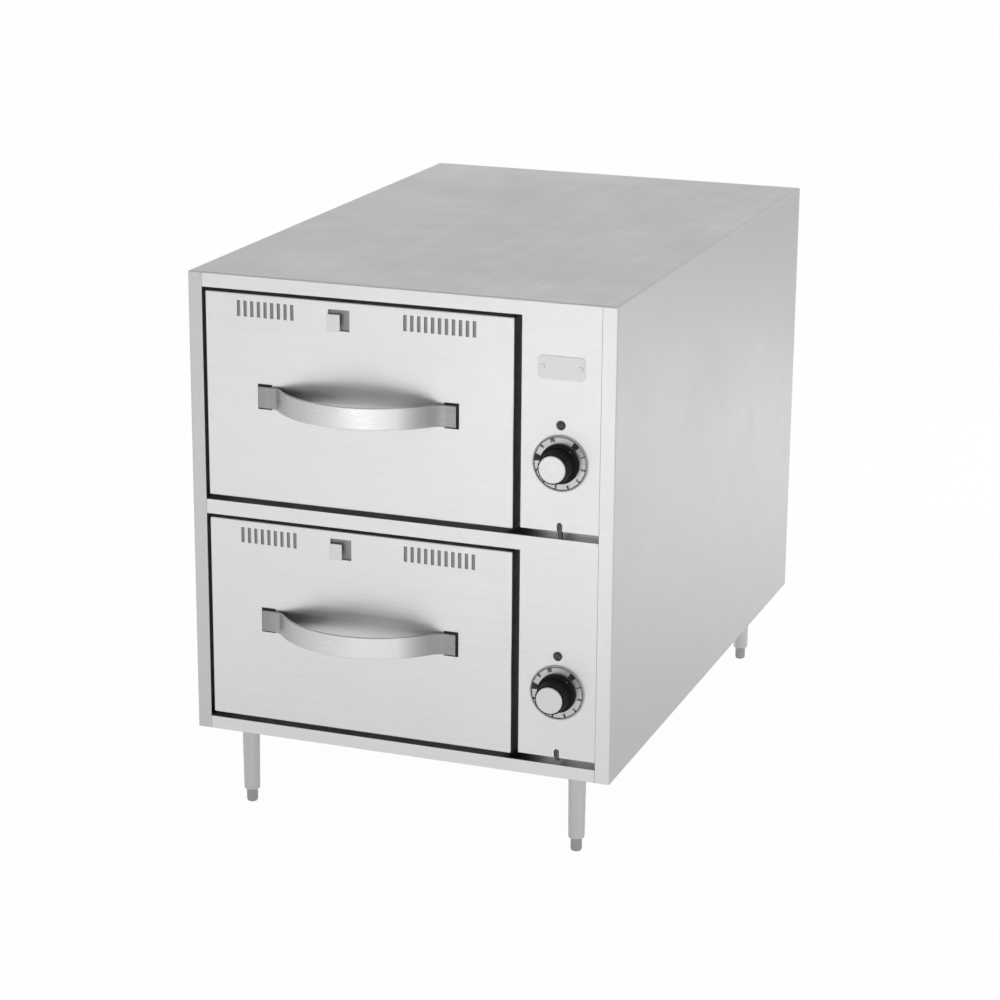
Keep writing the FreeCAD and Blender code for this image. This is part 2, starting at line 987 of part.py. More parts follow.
def food_pan(level):
    top = frame_top(level)
    outline = slab_wire(
        pan_width, pan_length, pan_rim_corner,
        V(drawer_x, pan_front + pan_length / 2, top),
    )
    rim = Part.Face(outline).extrude(V(0, 0, pan_sheet))
    solid = rim.fuse(pan_body(level, 0, 0))
    return solid.cut(pan_body(level, pan_sheet, pan_sheet))


def slot_starts():
    """Left edges of all vent slots."""
    starts = []
    for centre, count in ((left_vent_centre, left_slots), (right_vent_centre, right_slots)):
        span = (count - 1) * slot_pitch + slot_width
        for index in range(count):
            starts.append(drawer_x + centre - span / 2 + index * slot_pitch)
    return starts


def vent_slots(level, offset, y0, y1):
    """All vent slots of a drawer, moved along X by an offset."""
    top = front_top(level) - slot_drop
    starts = [x + offset for x in slot_starts()]
    return [box(x, x + slot_width, y0, y1, top - slot_height, top) for x in starts]


def tab_hole(level, y0, y1):
    left = drawer_x + tab_hole_centre - tab_hole_width / 2
    top = front_top(level) - tab_hole_drop
    return box(left, left + tab_hole_width, y0, y1, top - tab_hole_height, top)


def shutter_bottom(level):
    return front_top(level) - max(slot_drop + slot_height, tab_hole_drop + tab_hole_height) - shutter_margin


def shutter_top(level):
    return front_top(level) - min(slot_drop, tab_hole_drop) + shutter_margin


def keepers(level):
    """Folded clips behind the face sheet that hold the shutter's long edges."""
    first = drawer_x + left_vent_centre
    last = drawer_x + right_vent_centre
    front = sheet
    lip_front = front + shutter_play + shutter_sheet + shutter_play
    clips = []
    for x in (first, (first + last) / 2, last):
        x0 = x - keeper_length / 2
        x1 = x + keeper_length / 2
        for edge, away in ((shutter_bottom(level), -1), (shutter_top(level), 1)):
            stop = edge + away * shutter_play
            outer = stop + away * keeper_sheet
            inner = stop - away * keeper_lip
            clips.append(box(x0, x1, front, lip_front + keeper_sheet, min(stop, outer), max(stop, outer)))
            clips.append(box(
                x0, x1, lip_front, lip_front + keeper_sheet,
                min(inner, outer), max(inner, outer),
            ))
    return clips


def front_shell(level):
    """Face sheet folded back on all four sides, with the vent slots and the tab hole."""
    bottom = front_bottom(level)
    top = front_top(level)
    tray = box(front_left, front_right, 0, front_thickness, bottom, top)
    tray = round_edges(tray, front_bend, RIGHT, lambda centre: centre.y < 1)
    tray = round_edges(tray, front_bend, UP, lambda centre: centre.y < 1)
    hollow = box(
        front_left + sheet, front_right - sheet,
        sheet, front_thickness + 1,
        bottom + sheet, top - sheet,
    )
    tray = tray.cut(hollow)
    cuts = vent_slots(level, 0, -1, 2 * sheet) + [tab_hole(level, -1, 2 * sheet)]
    for place in handle_screw_places(level):
        cuts.append(rod(handle_screw_radius + screw_fit, place + V(0, -1, 0), BACK, 2 + sheet))
    return fuse([tray.cut(cuts)] + keepers(level))


def front_inner_panel(level):
    """Sheet that closes the back of the drawer front, with two windows to the vents."""
    panel = box(
        front_left + sheet, front_right - sheet,
        front_thickness - inner_panel_sheet, front_thickness,
        front_bottom(level) + sheet, front_top(level) - sheet,
    )
    roof = cavity_floor(level) + cavity_height
    windows = []
    for centre, count in ((left_vent_centre, left_slots), (right_vent_centre, right_slots)):
        half = count * slot_pitch / 2
        windows.append(box(
            drawer_x + centre - half, drawer_x + centre + half,
            front_thickness - 2 * inner_panel_sheet, front_thickness + 1,
            frame_top(level) + pan_setback, roof - pan_setback,
        ))
    return panel.cut(windows)


def front_insulation(level):
    return box(
        front_left + sheet, front_right - sheet,
        insulation_setback, front_thickness - inner_panel_sheet,
        front_bottom(level) + sheet, front_top(level) - vent_chamber,
    )


def vent_shutter(level):
    """Slotted plate behind the face sheet, at rest with its slots to the left of the vents.

    Its finger tab is lanced out of the plate, which leaves a window beside and above the tab.
    """
    starts = slot_starts()
    front = sheet + shutter_play
    back = front + shutter_sheet
    plate = box(
        min(starts) - shutter_margin - shutter_travel,
        max(starts) + slot_width + shutter_margin,
        front, back,
        shutter_bottom(level), shutter_top(level),
    )
    hole_left = drawer_x + tab_hole_centre - tab_hole_width / 2
    hole_top = front_top(level) - tab_hole_drop
    tab_left = hole_left + 2 * shutter_play
    tab_right = tab_left + tab_width
    tab_bottom = hole_top - tab_hole_height + 2 * shutter_play
    tab_top = tab_bottom + tab_height
    window = box(
        tab_left + shutter_sheet, hole_left + tab_hole_width,
        0, back + 1,
        tab_bottom, hole_top,
    )
    plate = plate.cut(vent_slots(level, -shutter_travel, 0, back + 1) + [window])
    neck = box(tab_left, tab_left + shutter_sheet, -tab_reach_out, back, tab_bottom, tab_top)
    face = box(
        tab_left, tab_right,
        -tab_reach_out, shutter_sheet - tab_reach_out,
        tab_bottom, tab_top,
    )
    return fuse([plate, neck, face])


def handle_screw_places(level):
    offset = (handle_length - handle_pad) / 2
    z = front_middle(level) + handle_rise
    return [V(drawer_x + side * offset, 0, z) for side in (-1, 1)]


def handle_face(level):
    """Plan outline of the bowed strap: flat pads, hollow heels and one long bow."""
    half = handle_length / 2
    reach = handle_reach - handle_strap
    heel_x = half - handle_pad
    swing = 2 * math.atan2(reach, heel_x)
    bow_radius = heel_x / math.sin(swing) - handle_heel_radius
    z = front_middle(level) + handle_rise - handle_height / 2

    def side_points(offset):
        """Heel start, heel middle, joint, bow apex of the line at one offset from the inner face."""
        heel = handle_heel_radius - offset
        bow = bow_radius + offset
        heel_centre = V(heel_x, -handle_heel_radius, z)
        bow_centre = V(0, bow_radius - reach, z)
        start = heel_centre + V(0, heel, 0)
        middle = heel_centre + V(-math.sin(swing / 2) * heel, math.cos(swing / 2) * heel, 0)
        joint = heel_centre + V(-math.sin(swing) * heel, math.cos(swing) * heel, 0)
        apex = bow_centre + V(0, -bow, 0)
        return start, middle, joint, apex

    def mirrored(point):
        return V(-point.x, point.y, point.z)

    start_in, middle_in, joint_in, apex_in = side_points(0)
    start_out, middle_out, joint_out, apex_out = side_points(handle_strap)
    end_in = V(half, 0, z)
    end_out = V(half, -handle_strap, z)
    edges = [
        Part.LineSegment(end_in, start_in).toShape(),
        Part.Arc(start_in, middle_in, joint_in).toShape(),
        Part.Arc(joint_in, apex_in, mirrored(joint_in)).toShape(),
        Part.Arc(mirrored(joint_in), mirrored(middle_in), mirrored(start_in)).toShape(),
        Part.LineSegment(mirrored(start_in), mirrored(end_in)).toShape(),
        Part.LineSegment(mirrored(end_in), mirrored(end_out)).toShape(),
        Part.LineSegment(mirrored(end_out), mirrored(start_out)).toShape(),
        Part.Arc(mirrored(start_out), mirrored(middle_out), mirrored(joint_out)).toShape(),
        Part.Arc(mirrored(joint_out), apex_out, joint_out).toShape(),
        Part.Arc(joint_out, middle_out, start_out).toShape(),
        Part.LineSegment(start_out, end_out).toShape(),
        Part.LineSegment(end_out, end_in).toShape(),
    ]
    return Part.Face(Part.Wire(edges))


def handle(level):
    strap = handle_face(level).extrude(V(0, 0, handle_height))
    rims = [edge for edge in strap.Edges if edge.BoundBox.ZLength < tolerance]
    strap = strap.makeFillet(handle_round, rims)
    strap.translate(V(drawer_x, 0, 0))
    taps = []
    for place in handle_screw_places(level):
        taps.append(rod(handle_screw_radius + screw_fit, place, FRONT, handle_tap))
    return strap.cut(taps)


def handle_screws(level):
    """Screws from inside the front shell into both ends of the handle."""
    screws = []
    for place in handle_screw_places(level):
        inside = place + V(0, sheet, 0)
        head = rod(2 * handle_screw_radius, inside, BACK, handle_screw_radius)
        shank = rod(handle_screw_radius, inside, FRONT, handle_screw_length)
        screws.append(fuse([head, shank]))
    return group(screws)


# ---------------------------------------------------------------- controls


def dial_plate(level):
    """Scale ring round the knob, with a raised rim."""
    inner = dial_radius - dial_rim_width
    top = dial_thickness + dial_rim
    plate = turned([
        (0, 0), (dial_radius, 0), (dial_radius, dial_thickness),
        (dial_radius - dial_rim, top), (inner, top),
        (inner - dial_rim, dial_thickness), (0, dial_thickness),
    ])
    plate = plate.cut(rod(dial_bore, V(0, 0, -1), UP, dial_thickness + 2))
    return placed(plate, dial_centre(level), FRONT)


def knob(level):
    """Skirted and fluted knob whose blind bore takes the thermostat's shaft."""
    body = turned([
        (0, 0), (knob_skirt_radius, 0), (knob_skirt_radius, knob_skirt - knob_skirt_edge),
        (knob_skirt_radius - knob_skirt_edge, knob_skirt), (knob_grip_radius, knob_skirt),
        (knob_top_radius, knob_height - knob_edge), (knob_top_radius - knob_edge, knob_height),
        (0, knob_height),
    ])
    cuts = [rod(shaft_radius, V(0, 0, -1), UP, knob_bore + 1)]
    for index in range(knob_flutes):
        angle = 2 * math.pi * index / knob_flutes
        x = (knob_grip_radius + flute_offset) * math.cos(angle)
        y = (knob_grip_radius + flute_offset) * math.sin(angle)
        cuts.append(rod(flute_radius, V(x, y, knob_skirt + flute_start), UP, knob_height))
    at = dial_centre(level) + V(0, -dial_thickness - knob_gap, 0)
    return placed(body.cut(cuts), at, FRONT)


def knob_cap(level):
    """Metal disc on the knob's end."""
    disc = turned([
        (0, 0), (knob_cap_radius, 0), (knob_cap_radius, knob_cap_height - knob_cap_edge),
        (knob_cap_radius - knob_cap_edge, knob_cap_height), (0, knob_cap_height),
    ])
    at = dial_centre(level) + V(0, -dial_thickness - knob_gap - knob_height, 0)
    return placed(disc, at, FRONT)


def control_shaft(level):
    """Shaft that turns with the knob, from inside the thermostat to the knob's bore."""
    front = dial_thickness + knob_gap + knob_bore
    start = dial_centre(level) + V(0, -front, 0)
    return rod(shaft_radius, start, BACK, front + sheet + shaft_depth)


def thermostat_blades(level):
    """Front ends of the two terminals on the thermostat's rear face."""
    y = sheet + thermostat_depth
    offset = thermostat_width / 4
    return [dial_centre(level) + V(side * offset, y, 0) for side in (-1, 1)]


def thermostat(level):
    """Body with a front bearing for the shaft, two terminals, and the capillary with its bulb."""
    centre = dial_centre(level)
    half_w = thermostat_width / 2
    half_h = thermostat_height / 2
    case = box(
        panel_x - half_w, panel_x + half_w,
        sheet, sheet + thermostat_depth,
        centre.z - half_h, centre.z + half_h,
    )
    case = round_edges(case, thermostat_corner, BACK, lambda point: True)
    bearing = rod(shaft_hole_radius - bearing_fit, centre, BACK, sheet + 1)
    bore_depth = sheet + shaft_depth + shaft_end_play
    bore = rod(shaft_radius + shaft_fit, centre + V(0, -1, 0), BACK, 1 + bore_depth)
    blades = []
    for blade in thermostat_blades(level):
        blades.append(box(
            blade.x - blade_width / 2, blade.x + blade_width / 2,
            blade.y, blade.y + blade_length,
            blade.z - blade_sheet / 2, blade.z + blade_sheet / 2,
        ))
    body = fuse([case, bearing] + blades).cut(bore)
    exit_point = V(panel_x - half_w / 2, sheet + thermostat_depth, centre.z - half_h / 2)
    wall = drawer_x + cavity_half
    bulb_x = wall - 2 * bulb_radius
    bulb_y = capillary_y() + bulb_setback
    z = capillary_z(level)
    route = [
        exit_point,
        exit_point + V(0, capillary_y() - exit_point.y, 0),
        V(exit_point.x, capillary_y(), z),
        V(bulb_x, capillary_y(), z),
        V(bulb_x, bulb_y, z),
    ]
    capillary = bent_rod(route, capillary_radius, capillary_bend)
    bulb = rod(bulb_radius, V(bulb_x, bulb_y, z), BACK, bulb_length)
    clips = []
    clip_half = bulb_radius + bulb_clip_sheet
    for y in (bulb_y + bulb_clip_inset, bulb_y + bulb_length - bulb_clip_inset - bulb_clip_width):
        clip = box(bulb_x - clip_half, wall, y, y + bulb_clip_width, z - clip_half, z + clip_half)
        clips.append(clip.cut(rod(bulb_radius, V(bulb_x, y - 1, z), BACK, bulb_clip_width + 2)))
    return group([body, fuse([capillary, bulb]).cut(body)] + clips)


def pilot_lamp(level):
    """Domed lens in a thin flange, with a barrel behind the panel and a nut."""
    outline = [
        (0, 0), (lamp_flange_radius, 0), (lamp_flange_radius, lamp_flange - lamp_flange_edge),
        (lamp_flange_radius - lamp_flange_edge, lamp_flange), (lamp_radius, lamp_flange),
    ]
    for step in range(lamp_dome_steps):
        angle = math.pi / 2 * step / lamp_dome_steps
        height = lamp_flange + lamp_rim + lamp_dome * math.sin(angle)
        outline.append((lamp_radius * math.cos(angle), height))
    outline.append((0, lamp_flange + lamp_rim + lamp_dome))
    dome = placed(turned(outline), lamp_centre(level), FRONT)
    barrel = rod(lamp_barrel_radius, lamp_centre(level), BACK, lamp_barrel_length)
    nut = rod(lamp_nut_radius, lamp_centre(level) + V(0, sheet, 0), BACK, lamp_nut)
    return fuse([dome, barrel, nut])


def badge_plate():
    """Blank plate on the upper panel, held by two rivets."""
    centre = badge_centre()
    plate = box(
        centre.x - badge_width / 2, centre.x + badge_width / 2,
        -badge_thickness, 0,
        centre.z - badge_height / 2, centre.z + badge_height / 2,
    )
    plate = round_edges(plate, badge_corner, BACK, lambda point: True)
    holes = []
    rivets = []
    for place in badge_rivet_places():
        holes.append(rod(badge_rivet_radius, place + V(0, 1, 0), FRONT, badge_thickness + 2))
        head = rod(2 * badge_rivet_radius, place + V(0, -badge_thickness, 0), FRONT, badge_rivet_head)
        crown = -badge_thickness - badge_rivet_head / 2
        head = round_rims(head, badge_rivet_round, lambda point, radius: point.y < crown)
        shank = rod(badge_rivet_radius, place + V(0, sheet, 0), FRONT, badge_thickness + sheet)
        rivets.append(fuse([head, shank]))
    return group([plate.cut(holes)] + rivets)


def cabinet_screws():
    """Screws of the back panel and the retaining screw in each control panel's notch."""
    screws = []
    for place in rear_screw_places():
        screws.append(placed(pan_head_screw(screw_head_radius), place, BACK))
    for level in (0, 1):
        screws.append(placed(pan_head_screw(notch_screw_radius), notch_place(level), FRONT))
    return group(screws)


# ---------------------------------------------------------------- wiring


def terminal_places():
    """Centres of the terminal screws on the block at the back of the control compartment."""
    y = cavity_back
    z = body_bottom + 2 * sheet + terminal_height
    x = panel_left + sheet + terminal_gap + terminal_depth / 2
    places = []
    for index in range(terminal_ways):
        places.append(V(x, y + index * terminal_pitch, z))
    return places


def terminal_block():
    places = terminal_places()
    x = places[0].x
    start = places[0].y - terminal_pitch / 2
    end = places[-1].y + terminal_pitch / 2
    low = body_bottom + 2 * sheet
    half = terminal_depth / 2
    pieces = [
        box(x - half, x + half, start, end, low, low + terminal_ledge),
        box(x - half / 2, x + half / 2, start, end, low, low + terminal_height - terminal_screw_drop),
    ]
    for index in range(terminal_ways + 1):
        y = start + index * terminal_pitch
        pieces.append(box(
            x - half, x + half,
            max(y - terminal_barrier / 2, start), min(y + terminal_barrier / 2, end),
            low, low + terminal_height,
        ))
    block = fuse(pieces)
    screws = []
    for place in places:
        foot = place - V(0, 0, terminal_screw_drop)
        screws.append(rod(terminal_screw_radius, foot, UP, terminal_screw))
    return group([block] + screws)


def wiring_harness():
    """Single wires between the thermostats, the elements, the lamps and the terminal block."""
    wires = []
    lane = half_width - sheet - side_flange
    for level in (0, 1):
        left_blade, right_blade = thermostat_blades(level)
        near, far = element_ends(level)
        to_element = near + V(2 * element_radius, 0, 0)
        from_element = far + V(2 * element_radius, 0, 0)
        reach = V(0, blade_length, 0)
        drop = 2 * wire_bend
        wires.append([
            left_blade + reach,
            V(left_blade.x, near.y - drop, left_blade.z),
            V(left_blade.x, near.y - drop, near.z + drop),
            V(lane - drop, near.y - drop, near.z + drop),
            V(lane - drop, near.y, near.z),
            to_element,
        ])
        supply = terminal_places()[level] - V(0, 0, 1 - wire_radius)
        back = terminal_places()[level + 2] - V(0, 0, 1 - wire_radius)
        side = lane - level * wire_lane
        wires.append([
            right_blade + reach,
            V(right_blade.x, supply.y - 2 * wire_approach, right_blade.z),
            V(side, supply.y - wire_approach, right_blade.z - drop),
            V(side, supply.y, supply.z + drop),
            V(side, supply.y, supply.z),
            supply,
        ])
        wires.append([
            from_element,
            V(side - drop, far.y, far.z),
            V(side - drop, back.y, far.z + level * drop),
            V(side - drop, back.y, back.z + drop),
            back + V(0, 0, drop),
            back,
        ])
    return group([bent_rod(route, wire_radius, wire_turn) for route in wires])


def cord_inlet():
    """Bushing in the back panel through which the supply cord enters."""
    at = inlet_place()
    start = at + V(0, -inlet_inside, 0)
    length = inlet_inside + sheet + inlet_reach
    body = rod(inlet_body_radius, start, BACK, length)
    flange = rod(inlet_flange_radius, at, BACK, inlet_flange)
    nut = rod(inlet_flange_radius, at + V(0, -sheet, 0), FRONT, inlet_inside - sheet)
    bore = rod(inlet_bore, start + V(0, -1, 0), BACK, length + 2)
    bushing = fuse([body, flange, nut]).cut(bore)
    tip = start.y + length

    def outer_rim(centre, radius):
        return abs(centre.y - tip) < tolerance and radius > inlet_bore

    return round_rims(bushing, inlet_round, outer_rim)


# ---------------------------------------------------------------- legs


def leg(place):
    """Tapered leg with a collar, a stud into the base and a bore for the foot's spindle."""
    bottom = foot_height + foot_play
    body = turned([
        (0, bottom), (leg_bottom_radius - 1, bottom), (leg_bottom_radius, bottom + 1),
        (leg_top_radius, leg_height - leg_collar), (leg_collar_radius, leg_height - leg_collar),
        (leg_collar_radius, leg_height), (leg_stud_radius, leg_height),
        (leg_stud_radius, leg_height + leg_stud_length), (0, leg_height + leg_stud_length),
    ])
    depth = spindle_length + foot_play
    body = body.cut(rod(spindle_radius + spindle_fit, V(0, 0, bottom - 1), UP, depth + 1))
    return placed(body, place, UP)


def levelling_foot(place):
    """Bullet foot with a rounded sole and a spindle that screws into the leg."""
    shoulder = foot_round * (1 - math.sqrt(1 / 2))
    body = turned([
        (0, 0), (foot_radius - foot_round, 0), (foot_radius - shoulder, shoulder),
        (foot_radius, foot_round), (foot_radius, foot_height), (spindle_radius, foot_height),
        (spindle_radius, foot_height + spindle_length - spindle_edge),
        (spindle_radius - spindle_edge, foot_height + spindle_length),
        (0, foot_height + spindle_length),
    ])
    return placed(body, place, UP)


# ---------------------------------------------------------------- assembly


def build():
    parts = {
        "outer_wrap": outer_wrap(),
        "back_panel": back_panel(),
        "base_panel": base_panel(),
        "control_partition": partition(),
        "insulation_boards": insulation_boards(),
        "badge_plate": badge_plate(),
        "cabinet_screws": cabinet_screws(),
        "terminal_block": terminal_block(),
        "wiring_harness": wiring_harness(),
        "cord_inlet_bushing": cord_inlet(),
    }
    for level, name in ((0, "lower"), (1, "upper")):
        parts[name + "_fascia"] = fascia(level)
        parts[name + "_cavity_liner"] = cavity_liner(level)
        parts[name + "_heating_element"] = heating_element(level)
        parts[name + "_element_saddles"] = element_saddles(level)
        parts[name + "_slide_channels"] = slide_channels(level)
        parts[name + "_front_rollers"] = rollers(front_roller_u, front_roller_y, front_roller_z(level))
        parts[name + "_rear_rollers"] = rollers(rear_roller_u, rear_roller_y, track_centre(level))
        parts[name + "_drawer_runners"] = drawer_runners(level)
        parts[name + "_drawer_frame"] = drawer_frame(level)
        parts[name + "_food_pan"] = food_pan(level)
        parts[name + "_front_shell"] = front_shell(level)
        parts[name + "_front_inner_panel"] = front_inner_panel(level)
        parts[name + "_front_insulation"] = front_insulation(level)
        parts[name + "_vent_shutter"] = vent_shutter(level)
        parts[name + "_handle"] = handle(level)
        parts[name + "_handle_screws"] = handle_screws(level)
        parts[name + "_dial_plate"] = dial_plate(level)
        parts[name + "_knob"] = knob(level)
        parts[name + "_knob_cap"] = knob_cap(level)
        parts[name + "_control_shaft"] = control_shaft(level)
        parts[name + "_thermostat"] = thermostat(level)
        parts[name + "_pilot_lamp"] = pilot_lamp(level)
    parts["legs"] = group([leg(place) for place in leg_places().values()])
    for name, place in leg_places().items():
        parts[name + "_foot"] = levelling_foot(place)
    return parts


def save(parts):
    os.makedirs("parts", exist_ok=True)
    for name, shape in parts.items():
        moved = shape.copy()
        moved.translate(V(0, frame_shift, 0))
        moved.exportStep("parts/" + name + ".step")
        low = moved.BoundBox
        print("%-26s solids %2d valid %s volume %10.0f  x %.1f..%.1f y %.1f..%.1f z %.1f..%.1f" % (
            name, len(moved.Solids), moved.isValid(), moved.Volume,
            low.XMin, low.XMax, low.YMin, low.YMax, low.ZMin, low.ZMax,
        ))


save(build())
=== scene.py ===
"""Looks of the countertop warming drawer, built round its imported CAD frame."""

import math

import bmesh
import bpy
from mathutils import Matrix, Vector


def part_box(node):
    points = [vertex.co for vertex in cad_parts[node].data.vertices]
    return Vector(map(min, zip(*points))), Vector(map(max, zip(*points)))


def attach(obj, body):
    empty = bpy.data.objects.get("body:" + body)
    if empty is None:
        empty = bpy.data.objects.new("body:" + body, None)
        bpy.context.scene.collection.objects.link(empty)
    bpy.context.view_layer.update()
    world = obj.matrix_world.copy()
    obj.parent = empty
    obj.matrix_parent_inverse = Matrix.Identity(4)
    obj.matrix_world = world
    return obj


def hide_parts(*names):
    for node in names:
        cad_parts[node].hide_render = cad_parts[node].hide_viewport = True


LEVELS = ("lower", "upper")

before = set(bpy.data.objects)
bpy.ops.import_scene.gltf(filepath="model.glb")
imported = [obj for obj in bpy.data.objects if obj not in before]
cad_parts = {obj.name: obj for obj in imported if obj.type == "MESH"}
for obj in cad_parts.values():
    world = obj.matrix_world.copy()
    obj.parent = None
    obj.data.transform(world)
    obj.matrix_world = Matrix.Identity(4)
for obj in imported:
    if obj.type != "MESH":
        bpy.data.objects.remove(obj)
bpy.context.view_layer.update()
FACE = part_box("outer_wrap")[0].y

# ---------------------------------------------------------------- shader building


class Shader:
    """A material under construction: a Principled surface and the nodes that feed it."""

    def __init__(self, name, **constants):
        self.material = bpy.data.materials.new(name)
        self.material.use_nodes = True
        self.tree = self.material.node_tree
        self.surface = self.tree.nodes["Principled BSDF"]
        for socket, value in constants.items():
            self.surface.inputs[socket.replace("_", " ")].default_value = value

    def add(self, kind, inputs=None, **settings):
        """A new node, with its inputs set or linked and its settings made."""
        node = self.tree.nodes.new(kind)
        for name, value in settings.items():
            setattr(node, name, value)
        for socket, value in (inputs or {}).items():
            if isinstance(value, bpy.types.NodeSocket):
                self.tree.links.new(value, node.inputs[socket])
            else:
                node.inputs[socket].default_value = value
        return node

    def feed(self, socket, value):
        self.tree.links.new(value, self.surface.inputs[socket])

    def object_place(self, scale):
        """Object coordinates stretched by a scale for each axis."""
        coordinates = self.add("ShaderNodeTexCoord")
        mapping = self.add(
            "ShaderNodeMapping", {"Vector": coordinates.outputs["Object"], "Scale": scale}
        )
        return mapping.outputs["Vector"]

    def noise(self, scale, detail=3.0, stretch=(1, 1, 1), roughness=0.5):
        node = self.add(
            "ShaderNodeTexNoise",
            {
                "Vector": self.object_place(stretch),
                "Scale": scale,
                "Detail": detail,
                "Roughness": roughness,
            },
        )
        return node.outputs["Fac"]

    def ranged(self, value, low, high, start=0.3, end=0.7):
        """A value between start and end, spread from low to high; noise is mostly 0.3 to 0.7."""
        node = self.add(
            "ShaderNodeMapRange",
            {"Value": value, "From Min": start, "From Max": end, "To Min": low, "To Max": high},
        )
        return node.outputs["Result"]

    def times(self, first, second):
        node = self.add("ShaderNodeMath", {0: first, 1: second}, operation="MULTIPLY")
        return node.outputs["Value"]

    def plus(self, first, second):
        node = self.add("ShaderNodeMath", {0: first, 1: second}, operation="ADD")
        return node.outputs["Value"]

    def tinted(self, colour, factor):
        """A colour made lighter or darker by a factor that varies over the surface."""
        node = self.add("ShaderNodeVectorMath", {0: colour, "Scale": factor}, operation="SCALE")
        return node.outputs["Vector"]

    def along(self, axis, *steps):
        """A factor that follows pairs of place, in metres, and value along an object axis."""
        coordinates = self.add("ShaderNodeTexCoord")
        split = self.add("ShaderNodeSeparateXYZ", {0: coordinates.outputs["Object"]})
        factor = None
        for (start, first), (end, second) in zip(steps, steps[1:]):
            ratio = self.ranged(split.outputs[axis], 1.0, second / first, start, end)
            factor = self.times(factor, ratio) if factor is not None else self.times(ratio, first)
        return factor

    def veiled(self, depth, low):
        """1 where depth is 0, and low where it is 1."""
        node = self.add("ShaderNodeMath", {0: low, 1: 1.0}, operation="SUBTRACT")
        return self.plus(self.times(depth, node.outputs["Value"]), 1.0)

    def bump(self, height, distance, strength=1.0, rounded=None):
        """Relief of a depth in metres; rounded is the radius that softens the sharp edges."""
        inputs = {"Height": height, "Distance": distance, "Strength": strength}
        if rounded is not None:
            bevel = self.add("ShaderNodeBevel", {"Radius": rounded}, samples=4)
            inputs["Normal"] = bevel.outputs["Normal"]
        node = self.add("ShaderNodeBump", inputs)
        self.feed("Normal", node.outputs["Normal"])


# Noise cells in a metre along the brushing and across it.
ALONG_GRAIN = 5
ACROSS_GRAIN = 620
GRAIN = {
    "x": (ALONG_GRAIN, ACROSS_GRAIN, ACROSS_GRAIN),
    "y": (ACROSS_GRAIN, ALONG_GRAIN, ACROSS_GRAIN),
    "z": (ACROSS_GRAIN, ACROSS_GRAIN, ALONG_GRAIN),
    "level": (ALONG_GRAIN, ALONG_GRAIN, ACROSS_GRAIN),
}


def brushed_steel(
    name, tone, grain, roughness, streak=0.03, patch=0.025, rounded=0.0006, shade=None
):
    """Stainless sheet brushed along one axis, with faint handling marks and uneven sheen.

    shade takes the shader and gives a factor of painted light and painted shade for parts of the
    sheet.
    """
    shader = Shader(name, Metallic=1.0)
    fine = shader.noise(scale=1.0, detail=4.0, stretch=GRAIN[grain], roughness=0.62)
    broad = shader.noise(scale=5.5, detail=3.0)
    smudge = shader.noise(scale=23.0, detail=5.0, roughness=0.7)
    light = shader.plus(
        shader.ranged(fine, low=1 - streak, high=1 + streak),
        shader.ranged(broad, low=-patch, high=patch),
    )
    if shade is not None:
        light = shader.times(light, shade(shader))
    shader.feed("Base Color", shader.tinted(tone, light))
    gloss = shader.plus(
        shader.ranged(fine, low=roughness - 0.05, high=roughness + 0.05),
        shader.plus(
            shader.ranged(broad, low=-0.04, high=0.04),
            shader.ranged(smudge, low=-0.02, high=0.03),
        ),
    )
    shader.feed("Roughness", gloss)
    shader.bump(fine, distance=0.00003, strength=0.35, rounded=rounded)
    return shader.material


def moulded_plastic(name, colour, roughness, grain=0.00004, specular=0.5):
    """Moulded plastic with a fine spark-eroded grain and slight wear."""
    shader = Shader(name, IOR=1.5, Specular_IOR_Level=specular)
    speckle = shader.noise(scale=2600.0, detail=2.0)
    wear = shader.noise(scale=90.0, detail=4.0, roughness=0.65)
    shader.feed("Base Color", shader.tinted(colour, shader.ranged(wear, low=0.85, high=1.3)))
    shader.feed("Roughness", shader.ranged(wear, low=roughness - 0.06, high=roughness + 0.1))
    shader.bump(speckle, distance=grain, strength=0.3, rounded=0.0003)
    return shader.material


def spun_metal(name, tone, roughness, centres, ring=2400.0):
    """Metal turned on a lathe: fine rings round an axis along Y, for discs at several centres."""
    shader = Shader(name, Metallic=1.0)
    coordinates = shader.add("ShaderNodeTexCoord")
    nearest = None
    for centre in centres:
        offset = shader.add(
            "ShaderNodeVectorMath",
            {0: coordinates.outputs["Object"], 1: tuple(centre)},
            operation="SUBTRACT",
        )
        flat = shader.add(
            "ShaderNodeVectorMath",
            {0: offset.outputs["Vector"], 1: (1, 0, 1)},
            operation="MULTIPLY",
        )
        length = shader.add(
            "ShaderNodeVectorMath", {0: flat.outputs["Vector"]}, operation="LENGTH"
        )
        distance = length.outputs["Value"]
        if nearest is not None:
            lesser = shader.add("ShaderNodeMath", {0: nearest, 1: distance}, operation="MINIMUM")
            distance = lesser.outputs["Value"]
        nearest = distance
    rings = shader.add(
        "ShaderNodeTexNoise",
        {"W": nearest, "Scale": ring, "Detail": 3.0},
        noise_dimensions="1D",
    )
    rings = rings.outputs["Fac"]
    shader.feed("Base Color", shader.tinted(tone, shader.ranged(rings, low=0.88, high=1.08)))
    shader.feed("Roughness", shader.ranged(rings, low=roughness - 0.06, high=roughness + 0.1))
    shader.bump(rings, distance=0.00003, strength=0.5, rounded=0.0003)
    return shader.material


